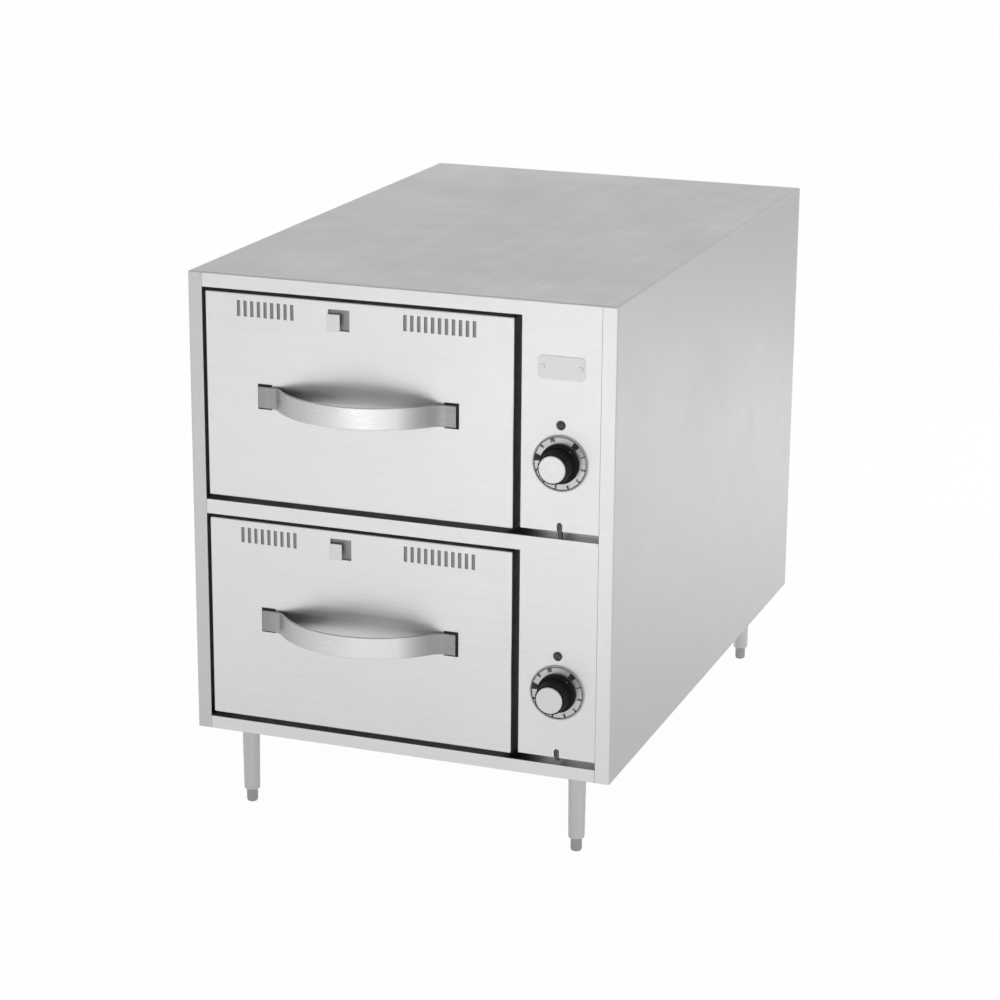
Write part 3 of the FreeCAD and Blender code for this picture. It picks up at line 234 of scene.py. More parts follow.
def mineral_board(name, colour):
    """Pressed mineral wool: short fibres and an uneven colour."""
    shader = Shader(name, Roughness=0.95)
    fibre = shader.noise(scale=420.0, detail=6.0, stretch=(1, 1, 3.5), roughness=0.75)
    blotch = shader.noise(scale=22.0, detail=3.0)
    light = shader.times(
        shader.ranged(fibre, low=0.7, high=1.2), shader.ranged(blotch, low=0.85, high=1.12)
    )
    shader.feed("Base Color", shader.tinted(colour, light))
    shader.bump(fibre, distance=0.0012, strength=0.9)
    return shader.material


def oxidised_sheath(name, colour, straw):
    """Heating-element sheath: dark oxide with bands of a straw heat tint."""
    shader = Shader(name, Metallic=0.85)
    band = shader.noise(scale=9.0, detail=2.0)
    grain = shader.noise(scale=900.0, detail=4.0)
    ramp = shader.add("ShaderNodeValToRGB", {"Fac": band})
    dark, light = ramp.color_ramp.elements
    dark.position, dark.color = 0.35, (*colour, 1)
    light.position, light.color = 0.68, (*straw, 1)
    shader.feed("Base Color", ramp.outputs["Color"])
    shader.feed("Roughness", shader.ranged(grain, low=0.42, high=0.62))
    shader.bump(grain, distance=0.00005, strength=0.4)
    return shader.material


def tinted_lens(name, colour):
    """Moulded lens of a pilot lamp, with vertical ribs inside the plastic."""
    shader = Shader(
        name, IOR=1.49, Transmission_Weight=0.35, Coat_Weight=0.6, Coat_Roughness=0.08
    )
    ribs = shader.noise(scale=1.0, detail=1.0, stretch=(1500, 1, 300))
    shader.feed("Base Color", shader.tinted(colour, shader.ranged(ribs, low=0.7, high=1.25)))
    shader.feed("Roughness", shader.ranged(ribs, low=0.16, high=0.28))
    shader.bump(ribs, distance=0.0001, strength=0.4)
    return shader.material


def rubber_jacket(name, colour):
    """Matt jacket of the wires, slightly dusty."""
    shader = Shader(name, IOR=1.45)
    dust = shader.noise(scale=160.0, detail=4.0)
    shader.feed("Base Color", shader.tinted(colour, shader.ranged(dust, low=0.85, high=1.25)))
    shader.feed("Roughness", shader.ranged(dust, low=0.5, high=0.7))
    shader.bump(shader.noise(scale=1800.0), distance=0.00004, strength=0.3)
    return shader.material


def printed_ink(name, colour):
    """Screen-printed ink with slightly uneven cover."""
    shader = Shader(name, IOR=1.5)
    cover = shader.noise(scale=1400.0, detail=3.0)
    shader.feed("Base Color", shader.tinted(colour, shader.ranged(cover, low=0.8, high=1.5)))
    shader.feed("Roughness", shader.ranged(cover, low=0.4, high=0.6))
    shader.bump(cover, distance=0.00002, strength=0.3)
    return shader.material


# ---------------------------------------------------------------- mesh building


def mesh_object(name, vertices, faces, material, smooth=True):
    mesh = bpy.data.meshes.new(name)
    mesh.from_pydata([tuple(v) for v in vertices], [], faces)
    mesh.update()
    made = bpy.data.objects.new(name, mesh)
    bpy.context.scene.collection.objects.link(made)
    made.data.materials.append(material)
    if smooth:
        mesh.polygons.foreach_set("use_smooth", [True] * len(mesh.polygons))
        mark_sharp(mesh)
    return made


def mark_sharp(mesh, limit=math.radians(34)):
    """Keep the edges sharper than the limit crisp in a smooth-shaded mesh."""
    work = bmesh.new()
    work.from_mesh(mesh)
    for edge in work.edges:
        edge.smooth = len(edge.link_faces) == 2 and edge.calc_face_angle(0) < limit
    work.to_mesh(mesh)
    work.free()


def bridge(loops, cap_start=True, cap_end=True):
    """Faces between closed loops of equal length, and caps on the first and last."""
    count = len(loops[0])
    vertices = [point for loop in loops for point in loop]
    faces = []
    for row in range(len(loops) - 1):
        base = row * count
        for index in range(count):
            ahead = (index + 1) % count
            faces.append((base + index, base + ahead, base + count + ahead, base + count + index))
    if cap_start:
        faces.append(tuple(reversed(range(count))))
    if cap_end:
        last = (len(loops) - 1) * count
        faces.append(tuple(range(last, last + count)))
    return vertices, faces


def add_part(vertices, faces, points, polygons):
    """Add a part's points and polygons to the vertices and faces of a piece."""
    base = len(vertices)
    vertices.extend(points)
    faces.extend(tuple(base + corner for corner in polygon) for polygon in polygons)


def dress(nodes, material):
    """Give CAD nodes a finish in place of their own."""
    for name in nodes:
        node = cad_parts[name]
        node.data.materials.clear()
        node.data.materials.append(material)


def both(*names):
    """Names of nodes on both levels."""
    return [level + "_" + name for level in LEVELS for name in names]


# ---------------------------------------------------------------- finishes of the CAD nodes

# One stainless steel in two tones: painted shade on the wrap's top and sides, painted light on the
# fronts, for how light falls on them.
WRAP_STEEL_SHADED = (0.61, 0.61, 0.606)
FRONT_STEEL_LIT = (0.835, 0.835, 0.83)
OXIDE = (0.09, 0.09, 0.1)
STRAW = (0.17, 0.14, 0.12)
WRAP_FLANGE = 0.02
PANEL_MARGIN = 0.0135
PANEL_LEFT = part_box("upper_dial_plate")[0].x - PANEL_MARGIN
HANDLE_MIDDLE = (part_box("upper_handle")[0].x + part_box("upper_handle")[1].x) / 2


def grey(level):
    return (level, level, level)


def faced(shader):
    """Painted light on the wrap's folded front edge: as pale as the fronts that it frames, more so
    on the right.
    """
    depth = shader.along("Y", (FACE + 0.0002, 1.0), (FACE + 0.0012, 0.001))
    low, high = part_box("outer_wrap")
    painted_gradient = shader.along("X", (low.x + WRAP_FLANGE, 1.08), (high.x - WRAP_FLANGE, 1.36))
    return shader.veiled(depth, painted_gradient)


def folded_in(shader):
    """Painted shade on the edges of the fixed fronts that turn in at the gaps, darkest beside the
    control panels.

    The recess under a panel has a paler painted shade.
    """
    depth = shader.along("Y", (FACE + 0.0012, 0.001), (FACE + 0.003, 1.0))
    low = shader.along(
        "X",
        (PANEL_LEFT - 0.022, 0.95),
        (PANEL_LEFT - 0.012, 0.05),
        (PANEL_LEFT, 0.05),
        (PANEL_LEFT + 0.03, 0.8),
    )
    return shader.veiled(depth, low)


def turned_back(shader):
    """Painted shade on the edges of a drawer front that turn back into the gap round it, a little
    darker.
    """
    return shader.along("Y", (FACE + 0.001, 1.0), (FACE + 0.006, 0.95))


def opened_out(shader):
    """Painted shade on a liner: dark round its mouth, behind the gaps, and plain further in."""
    return shader.along("Y", (FACE + 0.02, 0.1), (FACE + 0.06, 1.0))


def slid_behind(shader):
    """Painted shade on a vent shutter: dark behind its slots, and the tab that stands out in front
    painted back up to a bright tone.
    """
    return shader.along("Y", (FACE, 2.6), (FACE + 0.0008, 1.0))


def gripped(shader):
    """Painted light and shade on a handle: a painted highlight along its middle, painted shade
    towards its ends, on its inner side and on its upward faces.
    """
    geometry = shader.add("ShaderNodeNewGeometry")
    split = shader.add("ShaderNodeSeparateXYZ", {0: geometry.outputs["Normal"]})
    inner = shader.ranged(split.outputs["Y"], low=1.0, high=0.12, start=0.05, end=0.35)
    upper = shader.ranged(split.outputs["Z"], low=1.0, high=0.72, start=0.3, end=0.8)
    middle = shader.along(
        "X",
        (HANDLE_MIDDLE - 0.112, 0.44),
        (HANDLE_MIDDLE - 0.088, 0.70),
        (HANDLE_MIDDLE - 0.028, 1.0),
        (HANDLE_MIDDLE + 0.062, 1.08),
        (HANDLE_MIDDLE + 0.082, 0.62),
        (HANDLE_MIDDLE + 0.100, 0.45),
    )
    return shader.times(middle, shader.times(inner, upper))


def dial_centres():
    """Middles of the dials' front faces."""
    centres = []
    for level in LEVELS:
        low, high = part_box(level + "_dial_plate")
        centres.append(Vector(((low.x + high.x) / 2, low.y, (low.z + high.z) / 2)))
    return centres


def finish_sheet_metal():
    """Finishes of the cabinet's and the drawers' steel, with painted light and shade on some of
    them.
    """
    wrap = brushed_steel("wrap_steel", WRAP_STEEL_SHADED, "y", 0.36, shade=faced)
    front = brushed_steel("front_steel", FRONT_STEEL_LIT, "x", 0.36, shade=turned_back)
    panel = brushed_steel("panel_steel", FRONT_STEEL_LIT, "x", 0.36, shade=folded_in)
    dull = brushed_steel("liner_steel", (0.62, 0.62, 0.63), "y", 0.42, shade=opened_out)
    # The shutter's dark grey is painted shade behind the slots.
    shutter = brushed_steel("shutter_steel", grey(0.30), "x", 0.45, shade=slid_behind)
    back = brushed_steel("back_steel", (0.66, 0.66, 0.67), "x", 0.44)
    inner = brushed_steel("inner_steel", (0.6, 0.6, 0.61), "x", 0.42)
    zinc = brushed_steel("zinc_plate", (0.60, 0.62, 0.65), "y", 0.34, patch=0.09)
    welded = brushed_steel("frame_steel", grey(0.62), "y", 0.4)
    satin = brushed_steel("handle_steel", grey(0.78), "level", 0.3, shade=gripped)
    tube = brushed_steel("leg_steel", grey(0.62), "z", 0.28, streak=0.06)
    foot = brushed_steel("foot_steel", grey(0.40), "z", 0.3, streak=0.06)
    bright = brushed_steel("fastener_steel", grey(0.66), "x", 0.28, rounded=0.0002)
    badge = brushed_steel("badge_steel", grey(0.70), "x", 0.34, rounded=0.0003)
    dress(["outer_wrap"], wrap)
    dress(["base_panel"] + both("fascia"), panel)
    dress(both("front_shell"), front)
    dress(["control_partition"] + both("cavity_liner"), dull)
    dress(["back_panel"], back)
    dress(both("front_inner_panel"), inner)
    dress(both("slide_channels", "drawer_runners"), zinc)
    dress(both("drawer_frame", "element_saddles"), welded)
    dress(both("vent_shutter"), shutter)
    dress(both("handle"), satin)
    dress(["legs"], tube)
    dress([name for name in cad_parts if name.endswith("_foot")], foot)
    dress(["cabinet_screws"] + both("handle_screws", "control_shaft"), bright)
    dress(["badge_plate"], badge)


def finish_other_nodes():
    """Finishes of the insulation, the electrical parts, the rollers and the dials."""
    nylon = moulded_plastic("terminal_nylon", (0.03, 0.03, 0.032), 0.5)
    roller = moulded_plastic("roller_nylon", (0.74, 0.73, 0.69), 0.42)
    thermostat = brushed_steel("thermostat_case", (0.55, 0.53, 0.48), "z", 0.4)
    centres = dial_centres()
    dress(["insulation_boards"], mineral_board("mineral_wool", (0.55, 0.47, 0.25)))
    dress(both("front_insulation"), mineral_board("front_wool", (0.46, 0.46, 0.45)))
    dress(["terminal_block", "cord_inlet_bushing"], nylon)
    dress(both("front_rollers", "rear_rollers"), roller)
    dress(both("heating_element"), oxidised_sheath("element_sheath", OXIDE, STRAW))
    dress(both("thermostat"), thermostat)
    dress(both("pilot_lamp"), tinted_lens("lamp_lens", (0.075, 0.045, 0.045)))
    dress(["wiring_harness"], rubber_jacket("wire_jacket", (0.12, 0.12, 0.13)))
    dress(both("dial_plate"), spun_metal("dial_metal", grey(0.63), 0.34, centres))
    dress(both("knob_cap"), spun_metal("cap_metal", grey(0.76), 0.28, centres))


finish_sheet_metal()
finish_other_nodes()

# ---------------------------------------------------------------- controls

NUMBERS = 11
BOLD_MARKS = (0, 8)
FIRST_ANGLE = 40.0
STEP_ANGLE = 30.0
INK = 0.00006


def on_dial(centre, radius, clock, out=0.0):
    """Point at a clock angle in degrees, seen from the front, out in front of the dial's face."""
    turn = math.radians(clock)
    return centre + Vector((radius * math.sin(turn), -out, radius * math.cos(turn)))


def lathe(centre, profile, segments):
    """Closed loops round the dial's axis from pairs of radius and distance in front of its face."""
    loops = []
    for radius, out in profile:
        loops.append(
            [on_dial(centre, radius, 360 * step / segments, out) for step in range(segments)]
        )
    return loops


def bezel(level, centre, material):
    """Rolled rim round the dial, with a groove inside it."""
    profile = [
        (0.0299, -0.0003), (0.0299, 0.0001), (0.0303, 0.0005), (0.0310, 0.0007),
        (0.0316, 0.0006), (0.0320, 0.0002), (0.0321, -0.0004), (0.0321, -0.0016),
    ]
    segments = 96
    vertices, faces = bridge(lathe(centre, profile, segments), cap_start=False, cap_end=False)
    ring = mesh_object(level + "_dial_bezel", vertices, faces, material)
    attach(ring, "cabinet")


def digit_outline(text, height):
    """Mesh of a number, centred, in its own plane."""
    capital = 0.7
    curve = bpy.data.curves.new("digit", "FONT")
    curve.body = text
    curve.size = height / capital
    curve.align_x = "CENTER"
    curve.align_y = "CENTER"
    curve.extrude = INK / 2
    curve.offset = height * 0.035
    holder = bpy.data.objects.new("digit", curve)
    mesh = bpy.data.meshes.new_from_object(holder)
    work = bmesh.new()
    work.from_mesh(mesh)
    bmesh.ops.remove_doubles(work, verts=work.verts, dist=1e-7)
    bmesh.ops.recalc_face_normals(work, faces=work.faces)
    work.to_mesh(mesh)
    work.free()
    vertices = [vertex.co.copy() for vertex in mesh.vertices]
    faces = [tuple(face.vertices) for face in mesh.polygons]
    bpy.data.objects.remove(holder)
    bpy.data.curves.remove(curve)
    bpy.data.meshes.remove(mesh)
    return vertices, faces


def wedge(centre, inner, outer, clock, inner_half, outer_half, out):
    """Flat mark on the dial between two radii, with its half widths in degrees."""
    points = [
        on_dial(centre, inner, clock - inner_half, out),
        on_dial(centre, outer, clock - outer_half, out),
        on_dial(centre, outer, clock + outer_half, out),
        on_dial(centre, inner, clock + inner_half, out),
    ]
    return points, [(3, 2, 1, 0)]


def dial_print(level, centre, material):
    """Printed scale: numbers, ticks between them and bold marks in place of two numbers."""
    number_radius, number_height = 0.0268, 0.0040
    tick_end, long_tick, short_tick = 0.0300, 0.0286, 0.0290
    vertices = []
    faces = []
    for index in range(NUMBERS):
        if index in BOLD_MARKS:
            continue
        clock = FIRST_ANGLE + index * STEP_ANGLE
        spot = on_dial(centre, number_radius, clock, INK + 0.00002)
        turn = math.radians(clock)
        across = Vector((math.cos(turn), 0, -math.sin(turn)))
        outward = Vector((math.sin(turn), 0, math.cos(turn)))
        points, polygons = digit_outline(str(index), number_height)
        placed = [
            spot + across * point.x + outward * point.y + Vector((0, -point.z, 0))
            for point in points
        ]
        add_part(vertices, faces, placed, polygons)
    for index in range(2 * NUMBERS - 1):
        clock = FIRST_ANGLE + index * STEP_ANGLE / 2
        inner, half = (long_tick, 1.5) if index % 2 == 0 else (short_tick, 0.9)
        add_part(vertices, faces, *wedge(centre, inner, tick_end, clock, half, half, INK))
    for index in BOLD_MARKS:
        clock = FIRST_ANGLE + index * STEP_ANGLE
        mark = wedge(centre, 0.0236, 0.0298, clock, 7, 8, INK + 0.00001)
        add_part(vertices, faces, *mark)
    print_mesh = mesh_object(level + "_dial_print", vertices, faces, material, smooth=False)
    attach(print_mesh, "cabinet")


def knob(level, centre, material, line_material):
    """Skirted knob with fine concave flutes, a softened top edge and a seat for the cap."""
    segments = 216
    flutes = 24
    flute_depth = 0.0011
    flute_half = 0.36
    gap = 0.0004
    # Radius, distance in front of the gap, and share of the flutes' depth.
    profile = [
        (0.0030, 0.0, 0.0), (0.0215, 0.0, 0.0), (0.0223, 0.0003, 0.0), (0.0225, 0.0010, 0.0),
        (0.0225, 0.0026, 0.0), (0.0222, 0.0034, 0.0), (0.0215, 0.0039, 0.0), (0.0200, 0.0040, 0.0),
        (0.0193, 0.0042, 0.0), (0.0190, 0.0048, 0.15), (0.0189, 0.0060, 0.6), (0.0188, 0.0075, 1.0),
        (0.0185, 0.0120, 1.0), (0.0182, 0.0165, 1.0), (0.0178, 0.0210, 1.0), (0.0176, 0.0232, 1.0),
        (0.0174, 0.0243, 0.85), (0.0170, 0.0251, 0.5), (0.0164, 0.0255, 0.1), (0.0156, 0.0255, 0.0),
        (0.0156, 0.0250, 0.0),
    ]
    loops = []
    for radius, out, depth in profile:
        loop = []
        for step in range(segments):
            phase = (step * flutes / segments) % 1.0
            hollow = max(0.0, 1 - abs(phase - 0.5) / flute_half)
            cut = flute_depth * depth * math.sqrt(hollow)
            clock = 360 * step / segments
            loop.append(on_dial(centre, radius - cut, clock, gap + out))
        loops.append(loop)
    vertices, faces = bridge(loops[::-1], cap_start=True, cap_end=False)
    made = mesh_object(level + "_fluted_knob", vertices, faces, material)
    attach(made, level + "_knob")
    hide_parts(level + "_knob")
    pointer_inner, pointer_outer, pointer_half = 0.0196, 0.0213, 1.0
    out = gap + 0.00405
    start, end = FIRST_ANGLE - pointer_half, FIRST_ANGLE + pointer_half
    strip = [
        on_dial(centre, pointer_inner, start, out + 0.00005),
        on_dial(centre, pointer_outer, start, out),
        on_dial(centre, pointer_outer, end, out),
        on_dial(centre, pointer_inner, end, out + 0.00005),
    ]
    line = mesh_object(
        level + "_knob_pointer", strip, [(3, 2, 1, 0)], line_material, smooth=False
    )
    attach(line, level + "_knob")


def controls():
    """Rims, scales and knobs of both dials."""
    centres = dial_centres()
    rim = spun_metal("bezel_metal", grey(0.45), 0.3, centres)
    ink = printed_ink("scale_ink", grey(0.012))
    pale = printed_ink("pointer_ink", grey(0.45))
    black = moulded_plastic("knob_black", grey(0.004), 0.42, specular=0.18)
    for level, centre in zip(LEVELS, centres):
        bezel(level, centre, rim)
        dial_print(level, centre, ink)
        knob(level, centre, black, pale)


controls()

# ---------------------------------------------------------------- pans, louvres and small trim


def rounded_loop(low, high, inset, radius, z, steps=12):
    """Closed loop of a rectangle with round corners, inset from its low and high corners."""
    left, front = low.x + inset, low.y + inset
    right, rear = high.x - inset, high.y - inset
    loop = []
    corners = (
        (right - radius, front + radius, -90), (right - radius, rear - radius, 0),
        (left + radius, rear - radius, 90), (left + radius, front + radius, 180),
    )
    for x, y, start in corners:
        for step in range(steps + 1):
            angle = math.radians(start + 90 * step / steps)
            loop.append(Vector((x + radius * math.cos(angle), y + radius * math.sin(angle), z)))
    return loop


def pan(level, material):
    """Drawn food pan: flat rim with a raised bead, stacking step, tapered walls and round base."""
    low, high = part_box(level + "_food_pan")
    sheet = 0.0008
    top = high.z
    floor = low.z
    # Inset from the pan's box, corner radius and height.
    outside = [
        (0.0440, 0.024, floor), (0.0300, 0.034, floor + 0.0004), (0.0240, 0.038, floor + 0.0034),
        (0.0214, 0.039, floor + 0.0085), (0.0206, 0.0395, floor + 0.0150),
        (0.0152, 0.0415, top - 0.0300), (0.0146, 0.042, top - 0.0265),
        (0.0136, 0.042, top - 0.0235), (0.0131, 0.042, top - 0.0200), (0.0130, 0.042, top - 0.0008),
        (0.0005, 0.020, top - sheet), (0.0000, 0.020, top - 0.0005),
    ]
    inside = [
        (0.0003, 0.020, top - 0.0001), (0.0008, 0.020, top), (0.0050, 0.024, top),
        (0.0062, 0.026, top + 0.0005), (0.0078, 0.029, top + 0.0011), (0.0098, 0.033, top + 0.0013),
        (0.0118, 0.038, top + 0.0009), (0.0132, 0.041, top - 0.0004), (0.0138, 0.041, top - 0.0030),
        (0.0139, 0.041, top - 0.0195), (0.0144, 0.041, top - 0.0230), (0.0154, 0.041, top - 0.0262),
        (0.0160, 0.0405, top - 0.0300), (0.0214, 0.0385, floor + 0.0155),
        (0.0222, 0.038, floor + 0.0092), (0.0248, 0.037, floor + 0.0043),
        (0.0304, 0.033, floor + 0.0014), (0.0440, 0.024, floor + sheet),
    ]
    loops = [rounded_loop(low, high, inset, radius, z) for inset, radius, z in outside + inside]
    vertices, faces = bridge(loops)
    made = mesh_object(level + "_drawn_pan", vertices, faces, material)
    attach(made, level + "_drawer")
    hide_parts(level + "_food_pan")


def louvre_hoods(material):
    """Pressed hoods over the rear louvres, open along their lower edges."""
    low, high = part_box("upper_dial_plate")
    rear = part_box("back_panel")[1].y
    middle = (low.x + high.x) / 2
    below_top = 0.060
    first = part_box("outer_wrap")[1].z - below_top
    count, pitch, rise = 9, 0.010, 0.0022
    half, drop, swell_out, clear = 0.0285, 0.0066, 0.0036, 0.0003
    sheet = 0.0007
    across, down = 28, 7
    vertices = []
    faces = []
    for index in range(count):
        top = first - index * pitch + rise
        base = len(vertices)
        for depth in (0.0, sheet):
            for row in range(down + 1):
                v = row / down
                for column in range(across + 1):
                    u = 2 * column / across - 1
                    swell = math.sqrt(max(0.0, 1 - abs(u) ** 5)) * math.sin(math.pi / 2 * v)
                    out = swell_out * swell + clear - depth
                    edge = half - depth
                    vertices.append(Vector((middle + u * edge, rear + out, top - drop * v)))
        layer = (down + 1) * (across + 1)

        def corner(side, row, column):
            return base + side * layer + row * (across + 1) + column

        for row in range(down):
            for column in range(across):
                quad = [(row, column), (row, column + 1), (row + 1, column + 1), (row + 1, column)]
                faces.append(tuple(corner(0, *place) for place in quad))
                faces.append(tuple(corner(1, *place) for place in reversed(quad)))
        rim = [(0, column) for column in range(across)]
        rim += [(row, across) for row in range(down)]
        rim += [(down, column) for column in range(across, 0, -1)]
        rim += [(row, 0) for row in range(down, 0, -1)]
        for start, end in zip(rim, rim[1:] + rim[:1]):
            faces.append((corner(1, *start), corner(1, *end), corner(0, *end), corner(0, *start)))
    hoods = mesh_object("rear_louvre_hoods", vertices, faces, material)
    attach(hoods, "cabinet")


def handle_gaskets(level, material):
    """Thin black gaskets round the pads of a handle; their black stands in for the line of shade
    round the pads, as painted shade.
    """
    low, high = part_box(level + "_handle")
    face = high.y
    lip = 0.0021
    cover = 0.0008
    reach = 0.0150
    thick, shoulder = 0.0007, 0.0005
    soft = Vector((0.0002, 0, 0.0002))
    vertices = []
    faces = []
    for left, right in ((low.x - lip, low.x + reach), (high.x - reach, high.x + lip)):
        outer_low, outer_high = Vector((left, 0, low.z - lip)), Vector((right, 0, high.z + lip))
        inner_low = outer_low + Vector((lip + cover, 0, lip + cover))
        inner_high = outer_high - Vector((lip + cover, 0, lip + cover))
        loops = []
        for start, end, out in (
            (inner_low, inner_high, 0.0),
            (inner_low, inner_high, thick),
            (outer_low + soft, outer_high - soft, thick),
            (outer_low, outer_high, shoulder),
            (outer_low, outer_high, 0.0),
        ):
            loops.append([
                Vector((start.x, face - out, start.z)), Vector((end.x, face - out, start.z)),
                Vector((end.x, face - out, end.z)), Vector((start.x, face - out, end.z)),
            ])
        add_part(vertices, faces, *bridge(loops[::-1], cap_start=False, cap_end=False))
    gaskets = mesh_object(level + "_handle_gaskets", vertices, faces, material, smooth=False)
    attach(gaskets, level + "_drawer")


def panel_tongues(material):
    """Dark rubber tongues that hang through the notch of each control panel into its recess."""
    centres = dial_centres()
    floors = [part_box("base_panel")[1].z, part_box("lower_fascia")[1].z]
    half = 0.0024
    notch_top = 0.0185
    clear = 0.0003
    arc_steps = 12
    # Depth behind the front plane, and how far the outline draws in there.
    section = (
        (0.0010, 0.0006), (0.0014, 0.0001), (0.0022, 0.0), (0.0060, 0.0), (0.0066, 0.0005)
    )
    vertices = []
    faces = []
    for centre, floor in zip(centres, floors):
        loops = []
        for depth, trim in section:
            reach = half - trim
            top = floor + notch_top - half
            loop = [Vector((centre.x - reach, FACE + depth, floor + clear))]
            loop.append(Vector((centre.x + reach, FACE + depth, floor + clear)))
            for step in range(arc_steps + 1):
                angle = math.pi * step / arc_steps
                x = centre.x + reach * math.cos(angle)
                loop.append(Vector((x, FACE + depth, top + reach * math.sin(angle))))
            loops.append(loop)
        add_part(vertices, faces, *bridge(loops[::-1]))
    tongues = mesh_object("panel_tongues", vertices, faces, material)
    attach(tongues, "cabinet")


def tab_backings(level, material):
    """Dished plate spot-welded behind the window from which a shutter's tab is lanced; its dark
    grey is painted shade.
    """
    low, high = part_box(level + "_vent_shutter")
    left, right = low.x + 0.1185, low.x + 0.1470
    bottom, top = high.z - 0.0300, high.z - 0.0036
    radius = 0.0022
    corner_steps = 6
    # Inset of the outline, and depth behind the shutter's rear face.
    rows = ((0.0004, 0.00004), (0.0, 0.0002), (0.0, 0.0008), (0.0004, 0.0010))
    loops = []
    for inset, depth in rows:
        low_corner, high_corner = Vector((left, bottom)), Vector((right, top))
        flat = rounded_loop(low_corner, high_corner, inset, radius, 0.0, corner_steps)
        loops.append([Vector((point.x, high.y + depth, point.y)) for point in flat])
    plate = mesh_object(level + "_tab_backing", *bridge(loops[::-1]), material)
    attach(plate, level + "_vent_shutter")


def fittings():
    """Pans, gaskets and tab backings whose dark tones are painted shade, louvre hoods and tongues,
    with their finishes.
    """
    pan_steel = brushed_steel("pan_steel", grey(0.78), "y", 0.26, streak=0.02)
    pressed = brushed_steel("louvre_steel", (0.66, 0.66, 0.67), "x", 0.42, rounded=0.0003)
    # The gaskets' black is painted shade round the handle pads.
    rubber = moulded_plastic("gasket_rubber", grey(0.035), 0.6, specular=0.2)
    # The backing's dark grey is painted shade seen through the tab's window.
    backing = brushed_steel("backing_steel", grey(0.34), "x", 0.5, rounded=0.0002)
    tongue = moulded_plastic("tongue_rubber", grey(0.11), 0.6, specular=0.3)
    for level in LEVELS:
        pan(level, pan_steel)
        handle_gaskets(level, rubber)
        tab_backings(level, backing)
    louvre_hoods(pressed)
    panel_tongues(tongue)


fittings()

# ---------------------------------------------------------------- floor, light and camera

FLOOR_HALF = 30.0
FLOOR_WHITE = 0.975
GLOSSY_SHARE = 0.44
SKY_LEFT = 0.64
SKY_RIGHT = 0.48
SKY_TURN = 0.9
SWEEP_START = 0.09
SWEEP_END = 0.5
SWEEP_TOP = 0.56
WHITE = (1, 1, 1, 1)


def white_stage():
    """Pale floor that keeps the object's shadow.

    Camera and transmission rays see it almost wholly white, and glossy rays in part.
    """
    shader = Shader("floor_white", Base_Color=(0.9, 0.9, 0.9, 1), Roughness=0.9)
    tree = shader.tree
    path = shader.add("ShaderNodeLightPath")
    seen = shader.plus(path.outputs["Is Camera Ray"], path.outputs["Is Transmission Ray"])
    seen = shader.plus(seen, shader.times(path.outputs["Is Glossy Ray"], GLOSSY_SHARE))
    seen.node.use_clamp = True
    share = shader.times(seen, FLOOR_WHITE)
    glow = shader.add("ShaderNodeEmission", {"Color": WHITE, "Strength": 1.0})
    mix = shader.add(
        "ShaderNodeMixShader",
        {0: share, 1: shader.surface.outputs["BSDF"], 2: glow.outputs["Emission"]},
    )
    tree.links.new(mix.outputs["Shader"], tree.nodes["Material Output"].inputs["Surface"])
    low, high = -FLOOR_HALF, FLOOR_HALF
    corners = [(low, low, 0), (high, low, 0), (high, high, 0), (low, high, 0)]
    floor = mesh_object("floor", corners, [(0, 1, 2, 3)], shader.material, smooth=False)


def eased(tree, value, start, end, low, high):
    """A value between start and end, eased from low to high."""
    node = tree.nodes.new("ShaderNodeMapRange")
    node.interpolation_type = "SMOOTHSTEP"
    node.inputs["From Min"].default_value = start
    node.inputs["From Max"].default_value = end
    node.inputs["To Min"].default_value = low
    node.inputs["To Max"].default_value = high
    tree.links.new(value, node.inputs["Value"])
    return node.outputs["Result"]


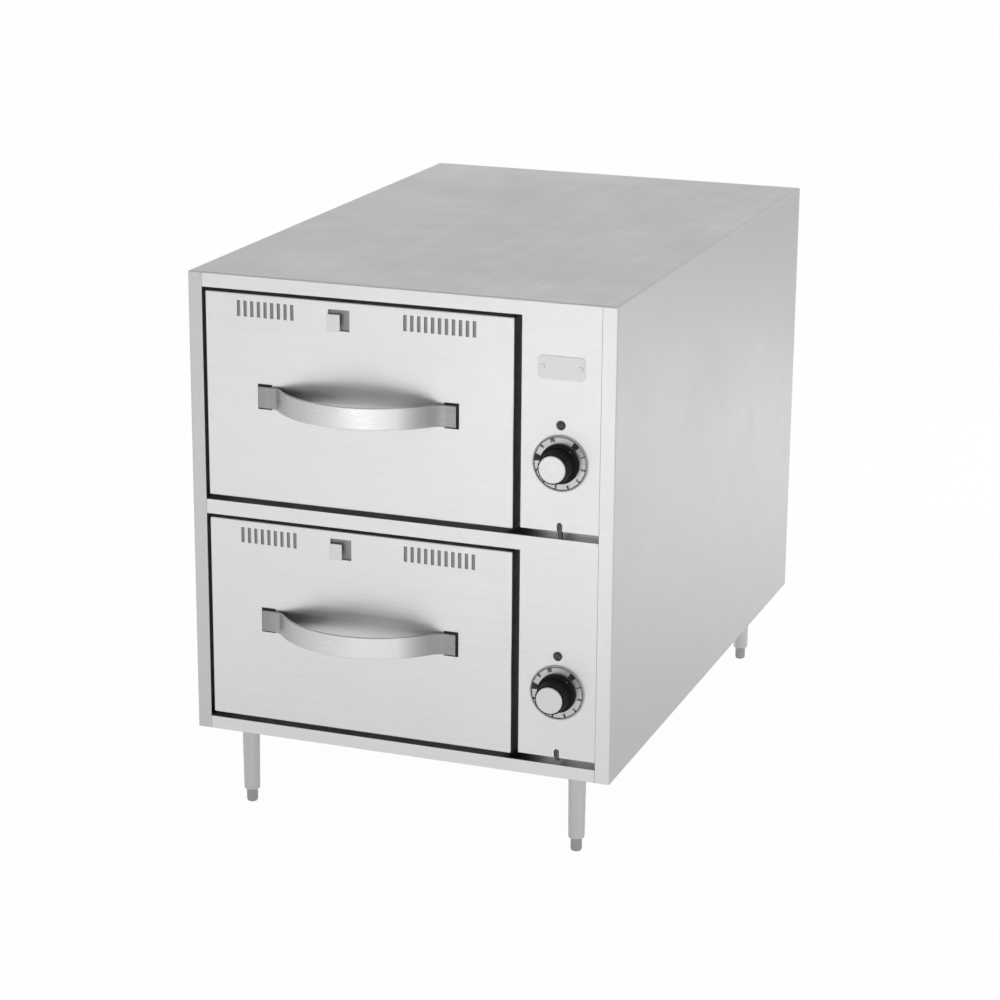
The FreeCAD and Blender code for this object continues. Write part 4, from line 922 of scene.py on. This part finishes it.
def sky():
    """Soft studio light that falls off towards the right.

    Camera, glossy and transmission rays see a white sweep that dims overhead.
    """
    world = bpy.data.worlds.new("studio")
    bpy.context.scene.world = world
    world.use_nodes = True
    tree = world.node_tree
    background = tree.nodes["Background"]
    background.inputs["Color"].default_value = WHITE
    coordinates = tree.nodes.new("ShaderNodeTexCoord")
    split = tree.nodes.new("ShaderNodeSeparateXYZ")
    tree.links.new(coordinates.outputs["Generated"], split.inputs[0])
    level = eased(tree, split.outputs["X"], -SKY_TURN, SKY_TURN, SKY_LEFT, SKY_RIGHT)
    tree.links.new(level, background.inputs["Strength"])
    white = tree.nodes.new("ShaderNodeBackground")
    white.inputs["Color"].default_value = WHITE
    height = eased(tree, split.outputs["Z"], SWEEP_START, SWEEP_END, 1.0, SWEEP_TOP)
    tree.links.new(height, white.inputs["Strength"])
    path = tree.nodes.new("ShaderNodeLightPath")
    seen = path.outputs["Is Camera Ray"]
    for ray in ("Is Glossy Ray", "Is Transmission Ray"):
        total = tree.nodes.new("ShaderNodeMath")
        total.use_clamp = True
        tree.links.new(seen, total.inputs[0])
        tree.links.new(path.outputs[ray], total.inputs[1])
        seen = total.outputs["Value"]
    mix = tree.nodes.new("ShaderNodeMixShader")
    tree.links.new(seen, mix.inputs[0])
    tree.links.new(background.outputs["Background"], mix.inputs[1])
    tree.links.new(white.outputs["Background"], mix.inputs[2])
    tree.links.new(mix.outputs["Shader"], tree.nodes["World Output"].inputs["Surface"])


def softbox(name, place, target, size, power, spread):
    """Area lamp, hidden from glossy rays, so that it leaves no hard streak in the metal."""
    light = bpy.data.lights.new(name, "AREA")
    light.shape = "RECTANGLE"
    light.size, light.size_y = size
    light.energy = power
    lamp = bpy.data.objects.new(name, light)
    bpy.context.scene.collection.objects.link(lamp)
    lamp.location = place
    direction = Vector(target) - Vector(place)
    lamp.rotation_euler = direction.to_track_quat("-Z", "Y").to_euler()
    light.spread = math.radians(spread)
    lamp.visible_glossy = False


def camera():
    """Camera at the measured place; turned by azimuth, elevation and a small roll."""
    azimuth = math.radians(20.116)
    elevation = math.radians(16.529)
    roll = math.radians(0.436)
    place = Vector((1.1380, FACE - 2.7748, 1.2971))
    focal_pixels = 2798.4
    sensor = 36.0
    frame_pixels = 1000
    furthest = 100
    forward = Vector((
        -math.sin(azimuth) * math.cos(elevation),
        math.cos(azimuth) * math.cos(elevation),
        -math.sin(elevation),
    ))
    right = forward.cross(Vector((0, 0, 1))).normalized()
    up = right.cross(forward)
    right_rolled = right * math.cos(roll) + up * math.sin(roll)
    up_rolled = up * math.cos(roll) - right * math.sin(roll)
    data = bpy.data.cameras.new("camera")
    data.sensor_width = sensor
    data.lens = focal_pixels * sensor / frame_pixels
    data.clip_end = furthest
    made = bpy.data.objects.new("camera", data)
    bpy.context.scene.collection.objects.link(made)
    turn = Matrix((right_rolled, up_rolled, -forward)).transposed()
    made.matrix_world = Matrix.Translation(place) @ turn.to_4x4()
    bpy.context.scene.camera = made


white_stage()
sky()
softbox(
    "key", place=(0.0, -3.7, 2.4), target=(0.1, -2.7, 0.0), size=(1.8, 1.4), power=24.5, spread=60
)
softbox(
    "back", place=(1.6, 2.0, 2.4), target=(0.75, 1.4, 0.0), size=(1.6, 1.2), power=11.5, spread=70
)
camera()
bpy.context.scene.view_settings.view_transform = "Standard"
